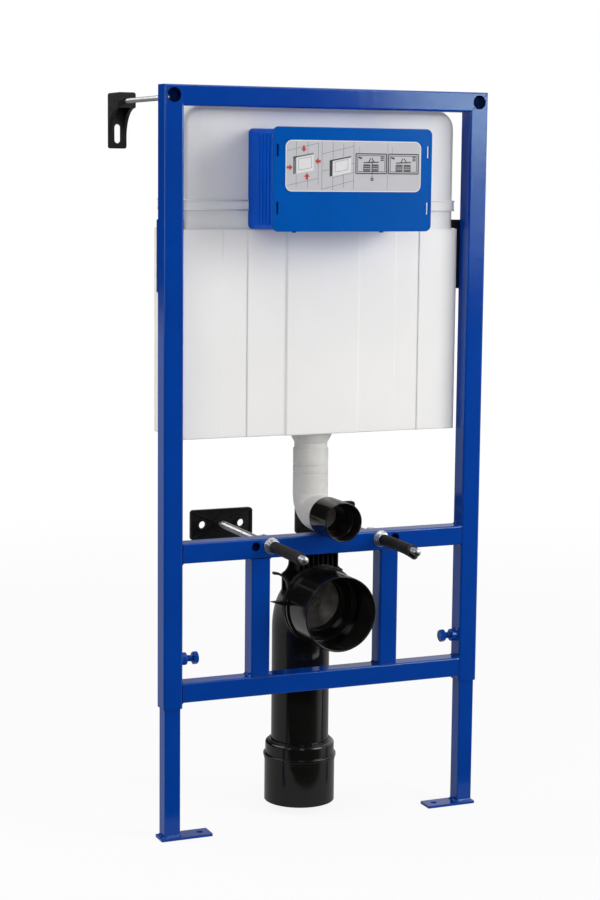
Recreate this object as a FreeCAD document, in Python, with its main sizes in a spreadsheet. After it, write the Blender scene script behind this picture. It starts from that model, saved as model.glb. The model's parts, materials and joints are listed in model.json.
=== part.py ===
import FreeCAD, Part
import os
import re
import Sketcher

# Installation frame for a wall hung toilet: steel frame on telescopic legs,
# concealed cistern, flush bend, drain bend, bowl studs and wall anchors.
#
# Every piece is drawn from the frame's centre line (X), the front face of its tubes (Y, growing
# towards the wall) and the floor (Z). One shift then puts the origin on the wall face of the left
# upper wall bracket. Sizes are millimetres.

SIZES = {
    # Steel frame
    "frame_width": 520,
    "frame_height": 1112,
    "tube": 30,
    "tube_wall": 2,
    "tube_round": 3,
    "upright_tail": 8,
    "lower_bar_drop": 113,
    "mullion_spacing": 212,
    "corner_hole": 21,
    # Telescopic legs and feet
    "leg_slack": 0.5,
    "leg_wall": 2,
    "leg_round": 2,
    "leg_overlap": 150,
    "foot_length": 81,
    "foot_width": 30,
    "foot_thick": 4,
    "foot_heel": 2.5,
    "foot_round": 1.5,
    "foot_hole": 10,
    "foot_hole_edge": 16,
    # Clamp screws that hold the legs
    "clamp_rise": 49,
    "clamp_bolt": 10,
    "clamp_slack": 0.3,
    "clamp_nut": 19,
    "clamp_nut_thick": 10,
    "clamp_stand_off": 20,
    "clamp_head": 17,
    "clamp_head_thick": 8,
    "clamp_round": 1.5,
    # Bowl studs
    "stud": 12,
    "stud_rise": 100,
    "stud_over_axis": 3.5,
    "stud_spacing": 180,
    "spare_spacing": 230,
    "stud_hole_slack": 0.8,
    "stud_reach": 127,
    "stud_tip": 16,
    "stud_tip_step": 0.2,
    "stud_bevel": 1.2,
    "washer": 25,
    "washer_thick": 2.5,
    "stud_nut": 19,
    "stud_nut_thick": 10,
    "sleeve_wall": 2.5,
    "sleeve_slack": 0.3,
    # Lower wall plates at the back ends of the studs
    "plate_front": 205,
    "plate_thick": 7,
    "plate_width": 104,
    "plate_tall": 48,
    "plate_round": 5,
    "plate_hole": 12,
    "plate_hole_spacing": 65,
    "plate_socket": 4,
    "plate_recess": 2.5,
    "plate_border": 3,
    "plate_boss_wall": 3.5,
    "plate_rib": 3,
    # Upper wall brackets and their rods
    "wall_face": 260,
    "bracket_rise": 13,
    "bracket_tall": 84,
    "bracket_width": 29,
    "bracket_plate": 4,
    "bracket_rib": 5,
    "bracket_round": 3.5,
    "bracket_reach": 48,
    "bracket_arm": 23,
    "bracket_slot": 10,
    "bracket_slot_long": 29,
    "bracket_slot_rise": 8,
    "rod": 8,
    "rod_drop": 3,
    "rod_slack": 0.3,
    "rod_start": 20,
    "rod_grip": 30,
    "rod_bevel": 0.8,
    # Cistern tank and insulation jacket
    "tank_front": 30.5,
    "tank_deep": 110,
    "tank_round": 8,
    "tank_shoulder": 28,
    "tank_rise": 2,
    "tank_wall": 4,
    "rim_over_hanger": 13,
    "rim_tall": 16,
    "rim_out": 2.6,
    "jacket_under_shaft": 0.5,
    "jacket_gap": 4.5,
    "jacket_thick": 5.5,
    "jacket_slack": 0.3,
    "jacket_round": 5,
    "panel_width": 116,
    "panel_proud": 2.6,
    "channel_start": 121,
    "channel_width": 39,
    "channel_deep": 1.2,
    # Plastic hangers that hold the cistern on the uprights
    "hanger_over_jacket": 1,
    "hanger_tall": 105,
    "hanger_tab": 13,
    "hanger_thick": 9,
    "hanger_inset": 2,
    "hanger_gap": 1.5,
    # Access shaft, its cover and the label
    "cover_width": 251.5,
    "cover_drop": 104.5,
    "cover_tall": 148,
    "cover_front": 80,
    "cover_thick": 3,
    "cover_round": 9,
    "cover_edge": 1.6,
    "cover_slot": 3,
    "cover_slot_long": 17,
    "cover_slot_edge": 6.75,
    "cover_slot_rise": 81.5,
    "cover_tab": 6,
    "cover_tab_drop": 1.5,
    "cover_tab_left": 92,
    "cover_tab_right": 46,
    "shaft_inset": 9.75,
    "shaft_inset_up": 4,
    "shaft_flare": 3,
    "shaft_flare_up": 3,
    "shaft_wall": 3,
    "shaft_round": 7,
    "shaft_rib": 3,
    "shaft_rib_proud": 1.2,
    "shaft_rib_first": 18,
    "shaft_rib_pitch": 12,
    "label_width": 214,
    "label_tall": 72.6,
    "label_rise": 19.2,
    "label_round": 10,
    "label_thick": 0.6,
    # Flush pipe
    "flush_pipe": 54,
    "flush_wall": 3,
    "flush_heel": 1.5,
    "flush_straight": 67.5,
    "groove_drop": 24,
    "groove_pitch": 12,
    "groove_tall": 2.5,
    "groove_deep": 0.8,
    "collar_flare": 6.3,
    "collar_neck_inset": 1.7,
    "collar_neck_long": 9,
    "collar_cone": 15,
    "collar_straight": 2,
    "collar_insert": 14,
    "flush_front": 60.6,
    "flush_socket_wall": 2,
    "flush_socket_bore": 55,
    "flush_socket_deep": 38,
    "flush_gap": 0.2,
    "flush_spigot": 14,
    "flush_ring": 27.5,
    "flush_ring_across": 56,
    "flush_ring_gap": 0.5,
    "flush_run": 8,
    "flush_ring_round": 1.5,
    # Drain
    "drain_height": 337,
    "drain_front": 55,
    "drain_run": 15,
    "drain_pipe": 90,
    "drain_wall": 4,
    "drain_heel": 5,
    "drain_end": 58,
    "drain_socket_wall": 2.7,
    "drain_socket_bore": 109.6,
    "drain_socket_deep": 78,
    "drain_socket_floor": 4,
    "drain_lip_set": 65,
    "drain_lip": 5,
    "drain_lip_proud": 2.5,
    "plug_thick": 3,
    "plug_boss": 14,
    "plug_boss_proud": 5,
    "adaptor_end": 12,
    "adaptor_top": 110,
    "adaptor_over": 20,
    "adaptor_wall": 4,
    "adaptor_lip": 3,
    "adaptor_step": 2.5,
    "adaptor_inset": 1,
    "adaptor_shoulder": 5,
    "adaptor_bead_proud": 2,
    "adaptor_bead_foot": 82,
    "adaptor_bead_tall": 5,
    "adaptor_bead_round": 1.2,
    "adaptor_band": 4,
    "adaptor_band_proud": 0.7,
    # Strap clip on the drain and the holder behind the crossbar
    "clip_gap": 2,
    "clip_wide": 9,
    "clip_thick": 3,
    "ear_root": 29,
    "ear_inset": 6,
    "ear_thick": 3.5,
    "ear_bend": 23,
    "spike_foot": 2,
    "spike_tall": 9,
    "spike_tip": 10,
    "spike_long": 21,
    "holder_width": 78,
    "holder_leg": 5,
    "holder_plate": 5,
    "holder_set": 5,
    "holder_drop": 6,
    "holder_shoulder": 18,
    "holder_arch_foot": 20,
    "holder_rib": 2.4,
    "holder_rib_pitch": 8,
    "holder_rib_foot": 6,
    "holder_slack": 0.6,
    # Clearance around rods and pipes that sit in a hole
    "seat_slack": 0.3,
}
SHAFT_RIBS = 5
HOLDER_RIBS = 9
FLUSH_GROOVES = 2

# Cosine above which an edge counts as running along an axis, and the tolerance for its place
ALONG = 0.99
NEAR = 0.01

doc = FreeCAD.newDocument("wall_hung_toilet_frame")
sheet = doc.addObject("Spreadsheet::Sheet", "Sizes")
for row, (alias, number) in enumerate(SIZES.items(), 1):
    sheet.set(f"A{row}", alias)
    sheet.set(f"B{row}", str(number))
    sheet.setAlias(f"B{row}", alias)
doc.recompute()

pieces = []
PLANES = {"x": "YZ_Plane", "y": "XZ_Plane", "z": "XY_Plane"}
DIRECTIONS = {"x": FreeCAD.Vector(1, 0, 0), "y": FreeCAD.Vector(0, 1, 0), "z": FreeCAD.Vector(0, 0, 1)}
SIDES = ((-1, "left"), (1, "right"))

# Places and sizes that several pieces share, as expressions over the sheet
LEG_AXIS = "(frame_width / 2 - tube / 2)"
INNER_SIDE = "(frame_width / 2 - tube)"
MID_DEPTH = "(tube / 2)"
LEG_TUBE = "(tube - 2 * tube_wall - 2 * leg_slack)"
CORNER_HEIGHT = "(frame_height - tube / 2)"
ROD_HEIGHT = f"({CORNER_HEIGHT} - rod_drop)"
RAIL_FOOT = "(frame_height - tube)"
STUD_HEIGHT = "(drain_height + stud_rise)"
UPPER_BAR = f"({STUD_HEIGHT} - stud_over_axis)"
LOWER_BAR = "(drain_height - lower_bar_drop)"
UPRIGHT_END = f"({LOWER_BAR} - tube / 2 - upright_tail)"
CLAMP_HEIGHT = f"({LOWER_BAR} + clamp_rise)"
BRACKET_TOP = f"({ROD_HEIGHT} + bracket_rise)"
BRACKET_MIDDLE = f"({BRACKET_TOP} - bracket_tall / 2)"
ROD_HOLE = "(rod + 2 * rod_slack)"
BOLT_HOLE = "(clamp_bolt + 2 * clamp_slack)"
STUD_HOLE = "(stud + 2 * stud_hole_slack)"

# Flush pipe, from the crossbar up to the tank
FLUSH_SOCKET = "(flush_socket_bore + 2 * flush_socket_wall)"
FLUSH_HEIGHT = f"({UPPER_BAR} + tube / 2 + flush_gap + flush_ring_across / 2)"
RING_END = "(flush_ring - flush_ring_gap)"
FLUSH_TURN = "(flush_pipe / 2 + flush_heel)"
FLUSH_TURN_START = f"({RING_END} + flush_run)"
FLUSH_TURN_Z = f"({FLUSH_HEIGHT} + {FLUSH_TURN})"
FLUSH_AXIS = f"({FLUSH_TURN_START} + {FLUSH_TURN})"
FLUSH_TOP = f"({FLUSH_TURN_Z} + flush_straight)"
FLUSH_BORE = "(flush_pipe - 2 * flush_wall)"
OUTLET_BORE = f"({FLUSH_BORE} - 2 * flush_wall - 2 * seat_slack)"
COLLAR_WIDE = "(flush_pipe + 2 * collar_flare)"
CONE_TOP = f"({FLUSH_TOP} + collar_neck_long + collar_cone)"

# Cistern, between the uprights and under the top rail
JACKET_SIDE = f"({INNER_SIDE} - jacket_gap)"
JACKET_FOOT = f"({CONE_TOP} + collar_straight)"
TANK_SIDE = f"({JACKET_SIDE} - jacket_thick - jacket_slack)"
TANK_BACK = "(tank_front + tank_deep)"
TANK_FOOT = f"({JACKET_FOOT} + jacket_thick + jacket_slack)"
TANK_TOP = f"({RAIL_FOOT} + tank_rise)"
COVER_BACK = "(cover_thick - cover_front)"
COVER_MIDDLE = f"({TANK_TOP} - cover_drop)"
SHAFT_WIDTH = "(cover_width - 2 * shaft_inset)"
SHAFT_TALL = "(cover_tall - 2 * shaft_inset_up)"
JACKET_TOP = f"({COVER_MIDDLE} - {SHAFT_TALL} / 2 - shaft_flare_up - jacket_under_shaft)"
HANGER_TAB_FOOT = f"({JACKET_TOP} + hanger_over_jacket)"
HANGER_HEAD = f"({HANGER_TAB_FOOT} + hanger_tab)"
RIM_FOOT = f"({HANGER_HEAD} + rim_over_hanger)"

# Drain, from its socket to the floor
DRAIN_SOCKET = "(drain_socket_bore + 2 * drain_socket_wall)"
SOCKET_END = "(drain_socket_deep + drain_socket_floor - drain_front)"
LIP_END = "(drain_lip_set + drain_lip - drain_front)"
THROAT = "(drain_pipe - 2 * drain_wall)"
DRAIN_TURN = "(drain_pipe / 2 + drain_heel)"
DRAIN_TURN_START = "(tube + drain_run)"
DRAIN_AXIS = f"({DRAIN_TURN_START} + {DRAIN_TURN})"
ADAPTOR_PIPE = "(drain_pipe + adaptor_over)"


def cell(text):
    """Point each size named in an expression at its cell in the sheet."""
    def to_cell(word):
        return f"Sizes.{word.group()}" if word.group() in SIZES else word.group()
    return re.sub(r"[a-z_]+", to_cell, str(text))


def new_body(label):
    """Start a sub-part, shifted so that the origin lies on the left upper bracket's wall face."""
    body = doc.addObject("PartDesign::Body", label)
    body.Label = label
    body.setExpression("Placement.Base.x", cell(LEG_AXIS))
    body.setExpression("Placement.Base.y", cell("-wall_face"))
    body.setExpression("Placement.Base.z", cell(f"-{BRACKET_MIDDLE}"))
    pieces.append(body)
    return body


def new_sketch(body, axis, across="0", up="0", along="0"):
    """Sketch square to an axis, with its own origin moved to (across, up) and along its normal."""
    sketch = body.newObject("Sketcher::SketchObject", f"{body.Name}_sketch")
    plane = next(f for f in body.Origin.OriginFeatures if f.Role == PLANES[axis])
    sketch.AttachmentSupport = [(plane, "")]
    sketch.MapMode = "FlatFace"
    sketch.setExpression("AttachmentOffset.Base.x", cell(across))
    sketch.setExpression("AttachmentOffset.Base.y", cell(up))
    sketch.setExpression("AttachmentOffset.Base.z", cell(along))
    return sketch


def tie(sketch, kind, geometry, point, expression):
    """Fix one coordinate of a point, measured from the sketch's origin."""
    index = sketch.addConstraint(Sketcher.Constraint(kind, -1, 1, geometry, point, 1.0))
    sketch.setExpression(f"Constraints[{index}]", cell(expression))


def draw(sketch, *outlines):
    """Draw closed outlines: a list of corners, or a circle as ("circle", u, v, diameter)."""
    for outline in outlines:
        if outline[0] == "circle":
            draw_circle(sketch, *outline[1:])
        else:
            draw_corners(sketch, outline)


def draw_circle(sketch, u, v, diameter):
    start = Part.Circle(FreeCAD.Vector(1, 1, 0), DIRECTIONS["z"], 1)
    index = sketch.addGeometry(start, False)
    tie(sketch, "DistanceX", index, 3, u)
    tie(sketch, "DistanceY", index, 3, v)
    size = sketch.addConstraint(Sketcher.Constraint("Diameter", index, 2 * start.Radius))
    sketch.setExpression(f"Constraints[{size}]", cell(diameter))


def draw_corners(sketch, corners):
    """Draw a closed outline of straight edges. Each corner is tied to the sketch's origin."""
    count = len(corners)
    points = [FreeCAD.Vector(i + 1, (i + 1) ** 2, 0) for i in range(count)]
    first = sketch.GeometryCount
    for i in range(count):
        sketch.addGeometry(Part.LineSegment(points[i], points[(i + 1) % count]), False)
    for i, (u, v) in enumerate(corners):
        before = first + (i - 1) % count
        sketch.addConstraint(Sketcher.Constraint("Coincident", before, 2, first + i, 1))
        tie(sketch, "DistanceX", first + i, 1, u)
        tie(sketch, "DistanceY", first + i, 1, v)


def rectangle(u_low, u_high, v_low, v_high):
    return [(u_low, v_low), (u_high, v_low), (u_high, v_high), (u_low, v_high)]


def circle(u, v, diameter):
    return ("circle", u, v, diameter)


def hexagon(u, v, across):
    """Hexagon with two corners straight up and down, across its flats."""
    side = f"({across}) / sqrt(3)"
    left = f"{u} - ({across}) / 2"
    right = f"{u} + ({across}) / 2"
    high = f"{v} + {side} / 2"
    low = f"{v} - {side} / 2"
    return [
        (u, f"{v} + {side}"), (left, high), (left, low),
        (u, f"{v} - {side}"), (right, low), (right, high),
    ]


def extrude(body, axis, low, high, *outlines):
    """Pad outlines from one coordinate to another along an axis."""
    along = f"-({high})" if axis == "y" else low
    sketch = new_sketch(body, axis, along=along)
    draw(sketch, *outlines)
    feature = body.newObject("PartDesign::Pad", f"{body.Name}_pad")
    feature.Profile = sketch
    feature.setExpression("Length", cell(f"({high}) - ({low})"))
    return feature


def cut(body, axis, low, high, *outlines):
    """Pocket outlines from one coordinate to another along an axis."""
    along = f"-({low})" if axis == "y" else high
    sketch = new_sketch(body, axis, along=along)
    draw(sketch, *outlines)
    feature = body.newObject("PartDesign::Pocket", f"{body.Name}_pocket")
    feature.Profile = sketch
    feature.setExpression("Length", cell(f"({high}) - ({low})"))
    return feature


def revolve(body, axis_kind, across, up, outlines, removes=False, sketch_axis="x", along="0", angle=360):
    """Turn outlines about the sketch's own horizontal or vertical axis."""
    sketch = new_sketch(body, sketch_axis, across, up, along)
    draw(sketch, *outlines)
    kind = "PartDesign::Groove" if removes else "PartDesign::Revolution"
    feature = body.newObject(kind, f"{body.Name}_turn")
    feature.Profile = sketch
    feature.ReferenceAxis = (sketch, [axis_kind])
    feature.Angle = angle
    return feature


def limits(body, axis):
    """Lowest and highest coordinate of what a sub-part has so far."""
    doc.recompute()
    box = body.Tip.Shape.BoundBox
    return {"x": (box.XMin, box.XMax), "y": (box.YMin, box.YMax), "z": (box.ZMin, box.ZMax)}[axis]


def runs_along(axis):
    """Test for straight edges that run along an axis."""
    def test(edge):
        run = edge.Vertexes[-1].Point - edge.Vertexes[0].Point
        straight = abs(run.Length - edge.Length) < NEAR
        return straight and abs(run * DIRECTIONS[axis]) > ALONG * run.Length
    return test


def lies_at(axis, *places):
    """Test for edges whose middle is at one of some places on an axis."""
    def test(edge):
        return min(abs(getattr(edge.CenterOfMass, axis) - place) for place in places) < NEAR
    return test


def circles(diameter):
    """Test for round edges of a diameter."""
    def test(edge):
        return edge.Curve.TypeId == "Part::GeomCircle" and abs(2 * edge.Curve.Radius - diameter) < NEAR
    return test


def dress(body, kind, size_name, size, tests):
    """Work the edges that pass every test."""
    doc.recompute()
    base = body.Tip
    names = [f"Edge{n}" for n, edge in enumerate(base.Shape.Edges, 1) if all(test(edge) for test in tests)]
    feature = body.newObject(kind, f"{body.Name}_edge")
    feature.Base = (base, names)
    feature.setExpression(size_name, cell(size))
    return feature


def round_edges(body, radius, *tests):
    return dress(body, "PartDesign::Fillet", "Radius", radius, tests)


def bevel_edges(body, size, *tests):
    return dress(body, "PartDesign::Chamfer", "Size", size, tests)


def square_tube(label, axis, low, high, u, v, side="tube", wall="tube_wall", corner="tube_round"):
    """Square tube along an axis, its section centred on (u, v), with round outer edges."""
    body = new_body(label)
    outer = rectangle(f"{u} - {side} / 2", f"{u} + {side} / 2", f"{v} - {side} / 2", f"{v} + {side} / 2")
    half = f"({side} / 2 - {wall})"
    inner = rectangle(f"{u} - {half}", f"{u} + {half}", f"{v} - {half}", f"{v} + {half}")
    extrude(body, axis, low, high, outer, inner)
    outside = [lies_at(name, *limits(body, name)) for name in "xyz" if name != axis]
    round_edges(body, corner, runs_along(axis), *outside)
    return body


def inwards(side, near, far):
    """Low and high X of what lies between two distances inwards from an upright's inner side."""
    low = f"{INNER_SIDE} - ({far})"
    high = f"{INNER_SIDE} - ({near})"
    return (low, high) if side > 0 else (f"-({high})", f"-({low})")


def shaft_halves(y):
    """Half the width and half the height of the flaring shaft at a depth."""
    share = f"(({y}) - {COVER_BACK}) / (tank_front - {COVER_BACK})"
    return f"({SHAFT_WIDTH} / 2 + shaft_flare * {share})", f"({SHAFT_TALL} / 2 + shaft_flare_up * {share})"


def shaft_section(y, grow):
    """Outline of the shaft at a depth, grown or shrunk by a margin."""
    half_width, half_tall = shaft_halves(y)
    return rectangle(f"-({half_width} + {grow})", f"{half_width} + {grow}",
                     f"{COVER_MIDDLE} - ({half_tall} + {grow})", f"{COVER_MIDDLE} + {half_tall} + {grow}")


# Steel frame: two uprights and a top rail with mitred corners
for side, name in SIDES:
    axis_x = f"{side} * {LEG_AXIS}"
    outer_x = f"{side} * frame_width / 2"
    inner_x = f"{side} * {INNER_SIDE}"
    upright = square_tube(f"{name}_upright", "z", UPRIGHT_END, "frame_height", axis_x, MID_DEPTH)
    cut(upright, "y", "0", "tube",
        [(outer_x, "frame_height"), (inner_x, "frame_height"), (inner_x, RAIL_FOOT)])
    cut(upright, "y", "0", "tube_wall", circle(axis_x, CORNER_HEIGHT, "corner_hole"))
    cut(upright, "y", "tube - tube_wall", "tube", circle(axis_x, ROD_HEIGHT, ROD_HOLE))
    cut(upright, "x", *inwards(side, "-tube_wall", "0"), circle(MID_DEPTH, CLAMP_HEIGHT, BOLT_HOLE))

rail = square_tube("top_rail", "x", "-frame_width / 2", "frame_width / 2", MID_DEPTH, CORNER_HEIGHT)
for side, name in SIDES:
    axis_x = f"{side} * {LEG_AXIS}"
    outer_x = f"{side} * frame_width / 2"
    inner_x = f"{side} * {INNER_SIDE}"
    cut(rail, "y", "0", "tube", [(outer_x, RAIL_FOOT), (inner_x, RAIL_FOOT), (outer_x, "frame_height")])
    cut(rail, "y", "0", "tube_wall", circle(axis_x, CORNER_HEIGHT, "corner_hole"))
    cut(rail, "y", "tube - tube_wall", "tube", circle(axis_x, ROD_HEIGHT, ROD_HOLE))

upper = square_tube("upper_crossbar", "x", f"-{INNER_SIDE}", INNER_SIDE, MID_DEPTH, UPPER_BAR)
for side, name in SIDES:
    for spacing in ("stud_spacing", "spare_spacing"):
        cut(upper, "y", "0", "tube", circle(f"{side} * {spacing} / 2", STUD_HEIGHT, STUD_HOLE))
square_tube("lower_crossbar", "x", f"-{INNER_SIDE}", INNER_SIDE, MID_DEPTH, LOWER_BAR)
for side, name in SIDES:
    square_tube(f"{name}_mullion", "z", f"{LOWER_BAR} + tube / 2", f"{UPPER_BAR} - tube / 2",
                f"{side} * mullion_spacing / 2", MID_DEPTH)

# Telescopic legs, their feet and the screws that clamp them
for side, name in SIDES:
    square_tube(f"{name}_leg", "z", "foot_thick", f"{UPRIGHT_END} + leg_overlap", f"{side} * {LEG_AXIS}",
                MID_DEPTH, LEG_TUBE, "leg_wall", "leg_round")

    foot = new_body(f"{name}_foot")
    heel = f"{side} * (frame_width / 2 + foot_heel)"
    toe = f"{side} * (frame_width / 2 + foot_heel - foot_length)"
    extrude(foot, "z", "0", "foot_thick",
            rectangle(heel, toe, f"{MID_DEPTH} - foot_width / 2", f"{MID_DEPTH} + foot_width / 2"))
    round_edges(foot, "foot_round", runs_along("z"))
    hole_x = f"{side} * (frame_width / 2 + foot_heel - foot_length + foot_hole_edge)"
    cut(foot, "z", "0", "foot_thick", circle(hole_x, MID_DEPTH, "foot_hole"))

    nut = new_body(f"{name}_clamp_nut")
    extrude(nut, "x", *inwards(side, "0", "clamp_nut_thick"), circle(MID_DEPTH, CLAMP_HEIGHT, "clamp_nut"),
            circle(MID_DEPTH, CLAMP_HEIGHT, BOLT_HOLE))
    free_end = min(limits(nut, "x"), key=abs)
    round_edges(nut, "clamp_round", circles(SIZES["clamp_nut"]), lies_at("x", free_end))

    bolt = new_body(f"{name}_clamp_bolt")
    tip = f"clamp_slack - (tube - {LEG_TUBE}) / 2"
    extrude(bolt, "x", *inwards(side, tip, "clamp_stand_off"), circle(MID_DEPTH, CLAMP_HEIGHT, "clamp_bolt"))
    extrude(bolt, "x", *inwards(side, "clamp_stand_off", "clamp_stand_off + clamp_head_thick"),
            hexagon(MID_DEPTH, CLAMP_HEIGHT, "clamp_head"))
    free_end = min(limits(bolt, "x"), key=abs)
    round_edges(bolt, "clamp_round", lies_at("x", free_end))

# Bowl studs, each one rod from its wall plate through the crossbar to the bowl
for side, name in SIDES:
    stud_x = f"{side} * stud_spacing / 2"
    stud = new_body(f"{name}_stud")
    shoulder_y = "stud_tip - stud_reach"
    extrude(stud, "y", shoulder_y, "plate_front + plate_socket", circle(stud_x, STUD_HEIGHT, "stud"))
    extrude(stud, "y", "-stud_reach", shoulder_y, circle(stud_x, STUD_HEIGHT, "stud - 2 * stud_tip_step"))
    bevel_edges(stud, "stud_bevel", lies_at("y", limits(stud, "y")[0]))

    hole = circle(stud_x, STUD_HEIGHT, "stud + 2 * seat_slack")
    washer = circle(stud_x, STUD_HEIGHT, "washer")
    across = hexagon(stud_x, STUD_HEIGHT, "stud_nut")
    front_nut = new_body(f"{name}_front_nut")
    extrude(front_nut, "y", "-washer_thick", "0", washer, hole)
    extrude(front_nut, "y", "-washer_thick - stud_nut_thick", "-washer_thick", across, hole)
    rear_nut = new_body(f"{name}_rear_nut")
    extrude(rear_nut, "y", "tube", "tube + washer_thick", washer, hole)
    extrude(rear_nut, "y", "tube + washer_thick", "tube + washer_thick + stud_nut_thick", across, hole)

    sleeve = new_body(f"{name}_sleeve")
    sleeve_bore = "stud + 2 * sleeve_slack"
    extrude(sleeve, "y", shoulder_y, "-washer_thick - stud_nut_thick",
            circle(stud_x, STUD_HEIGHT, f"{sleeve_bore} + 2 * sleeve_wall"),
            circle(stud_x, STUD_HEIGHT, sleeve_bore))

    # Wall plate: a border, bosses and two crossing ribs stand on a thinner web
    plate = new_body(f"{name}_wall_plate")
    plate_back = "plate_front + plate_thick"
    web_front = "plate_front + plate_recess"
    extrude(plate, "y", "plate_front", plate_back,
            rectangle(f"{stud_x} - plate_width / 2", f"{stud_x} + plate_width / 2",
                      f"{STUD_HEIGHT} - plate_tall / 2", f"{STUD_HEIGHT} + plate_tall / 2"))
    round_edges(plate, "plate_round", runs_along("y"))
    web_x = "(plate_width / 2 - plate_border)"
    web_z = "(plate_tall / 2 - plate_border)"
    cut(plate, "y", "plate_front", web_front,
        rectangle(f"{stud_x} - {web_x}", f"{stud_x} + {web_x}",
                  f"{STUD_HEIGHT} - {web_z}", f"{STUD_HEIGHT} + {web_z}"))
    extrude(plate, "y", "plate_front", web_front, circle(stud_x, STUD_HEIGHT, "stud + 4 * plate_boss_wall"))
    for end in (-1, 1):
        hole_x = f"{stud_x} + {end} * plate_hole_spacing / 2"
        extrude(plate, "y", "plate_front", web_front,
                circle(hole_x, STUD_HEIGHT, "plate_hole + 2 * plate_boss_wall"))
        extrude(plate, "y", "plate_front", web_front, [
            (f"{stud_x} - {web_x}", f"{STUD_HEIGHT} - {end} * {web_z} - plate_rib / 2"),
            (f"{stud_x} + {web_x}", f"{STUD_HEIGHT} + {end} * {web_z} - plate_rib / 2"),
            (f"{stud_x} + {web_x}", f"{STUD_HEIGHT} + {end} * {web_z} + plate_rib / 2"),
            (f"{stud_x} - {web_x}", f"{STUD_HEIGHT} - {end} * {web_z} + plate_rib / 2"),
        ])
    for end in (-1, 1):
        hole_x = f"{stud_x} + {end} * plate_hole_spacing / 2"
        cut(plate, "y", "plate_front", plate_back, circle(hole_x, STUD_HEIGHT, "plate_hole"))
    cut(plate, "y", "plate_front", "plate_front + plate_socket", hole)

# Upper wall brackets: a slotted plate, an arm for the rod and two curved ribs between them
for side, name in SIDES:
    axis_x = f"{side} * {LEG_AXIS}"
    bracket = new_body(f"{name}_top_bracket")
    left_x = f"{axis_x} - bracket_width / 2"
    right_x = f"{axis_x} + bracket_width / 2"
    plate_y = "wall_face - bracket_plate"
    nose_y = "wall_face - bracket_reach"
    foot_z = f"({BRACKET_TOP} - bracket_tall)"
    arm_z = f"({BRACKET_TOP} - bracket_arm)"
    curve_z = f"({arm_z} - (bracket_reach - bracket_plate))"
    extrude(bracket, "x", left_x, right_x, [
        ("wall_face", foot_z), ("wall_face", BRACKET_TOP), (nose_y, BRACKET_TOP),
        (nose_y, curve_z), (plate_y, curve_z), (plate_y, foot_z),
    ])
    ends = lies_at("z", *limits(bracket, "z"))
    round_edges(bracket, "bracket_round", runs_along("y"), ends)
    cut(bracket, "x", left_x, right_x, circle(nose_y, curve_z, "2 * (bracket_reach - bracket_plate)"))
    cut(bracket, "x", f"{left_x} + bracket_rib", f"{right_x} - bracket_rib",
        rectangle(nose_y, plate_y, curve_z, arm_z))
    slot_foot = f"{foot_z} + bracket_slot_rise + bracket_slot / 2"
    slot_head = f"{foot_z} + bracket_slot_rise + bracket_slot_long - bracket_slot / 2"
    slot_sides = (f"{axis_x} - bracket_slot / 2", f"{axis_x} + bracket_slot / 2")
    cut(bracket, "y", plate_y, "wall_face", rectangle(*slot_sides, slot_foot, slot_head))
    for end in (slot_foot, slot_head):
        cut(bracket, "y", plate_y, "wall_face", circle(axis_x, end, "bracket_slot"))
    cut(bracket, "y", nose_y, f"{nose_y} + rod_grip", circle(axis_x, ROD_HEIGHT, ROD_HOLE))

    rod = new_body(f"{name}_top_rod")
    extrude(rod, "y", "rod_start", f"{nose_y} + rod_grip", circle(axis_x, ROD_HEIGHT, "rod"))
    bevel_edges(rod, "rod_bevel", lies_at("y", limits(rod, "y")[0]))

# Cistern tank with its seam rim, which stops short of the shaft
tank = new_body("cistern_tank")
extrude(tank, "y", "tank_front", TANK_BACK, rectangle(f"-{TANK_SIDE}", TANK_SIDE, TANK_FOOT, TANK_TOP))
round_edges(tank, "tank_shoulder", runs_along("y"))
round_edges(tank, "tank_round", lies_at("y", *limits(tank, "y")))
extrude(tank, "z", RIM_FOOT, f"{RIM_FOOT} + rim_tall",
        rectangle(f"-{TANK_SIDE} - rim_out", f"{TANK_SIDE} + rim_out",
                  "tank_front - rim_out", f"{TANK_BACK} + rim_out"))
rim_corners = [lies_at(axis, *limits(tank, axis)) for axis in "xy"]
round_edges(tank, "tank_round", runs_along("z"), *rim_corners)
cut(tank, "y", "tank_front - rim_out", "tank_front", shaft_section("tank_front", "seat_slack"))
cut(tank, "y", "tank_front + tank_wall", f"{TANK_BACK} - tank_wall",
    rectangle(f"tank_wall - {TANK_SIDE}", f"{TANK_SIDE} - tank_wall",
              f"{TANK_FOOT} + tank_wall", f"{TANK_TOP} - tank_shoulder"))
cut(tank, "y", "tank_front", "tank_front + tank_wall", shaft_section("tank_front", "-shaft_wall"))
cut(tank, "z", TANK_FOOT, f"{TANK_FOOT} + tank_wall", circle("0", FLUSH_AXIS, OUTLET_BORE))

# Insulation jacket, open at the top, with a raised centre panel and two channels
jacket = new_body("insulation_jacket")
jacket_front = "(tank_front - jacket_slack - jacket_thick)"
jacket_back = f"({TANK_BACK} + jacket_slack + jacket_thick)"
extrude(jacket, "z", JACKET_FOOT, JACKET_TOP,
        rectangle(f"-{JACKET_SIDE}", JACKET_SIDE, jacket_front, jacket_back))
round_edges(jacket, "jacket_round", runs_along("z"))
extrude(jacket, "z", JACKET_FOOT, JACKET_TOP, [
    ("-panel_width / 2 - panel_proud", jacket_front),
    ("panel_width / 2 + panel_proud", jacket_front),
    ("panel_width / 2", f"{jacket_front} - panel_proud"),
    ("-panel_width / 2", f"{jacket_front} - panel_proud"),
])
cut(jacket, "z", TANK_FOOT, JACKET_TOP,
    rectangle(f"-{TANK_SIDE} - jacket_slack", f"{TANK_SIDE} + jacket_slack",
              "tank_front - jacket_slack", f"{TANK_BACK} + jacket_slack"))
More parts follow.
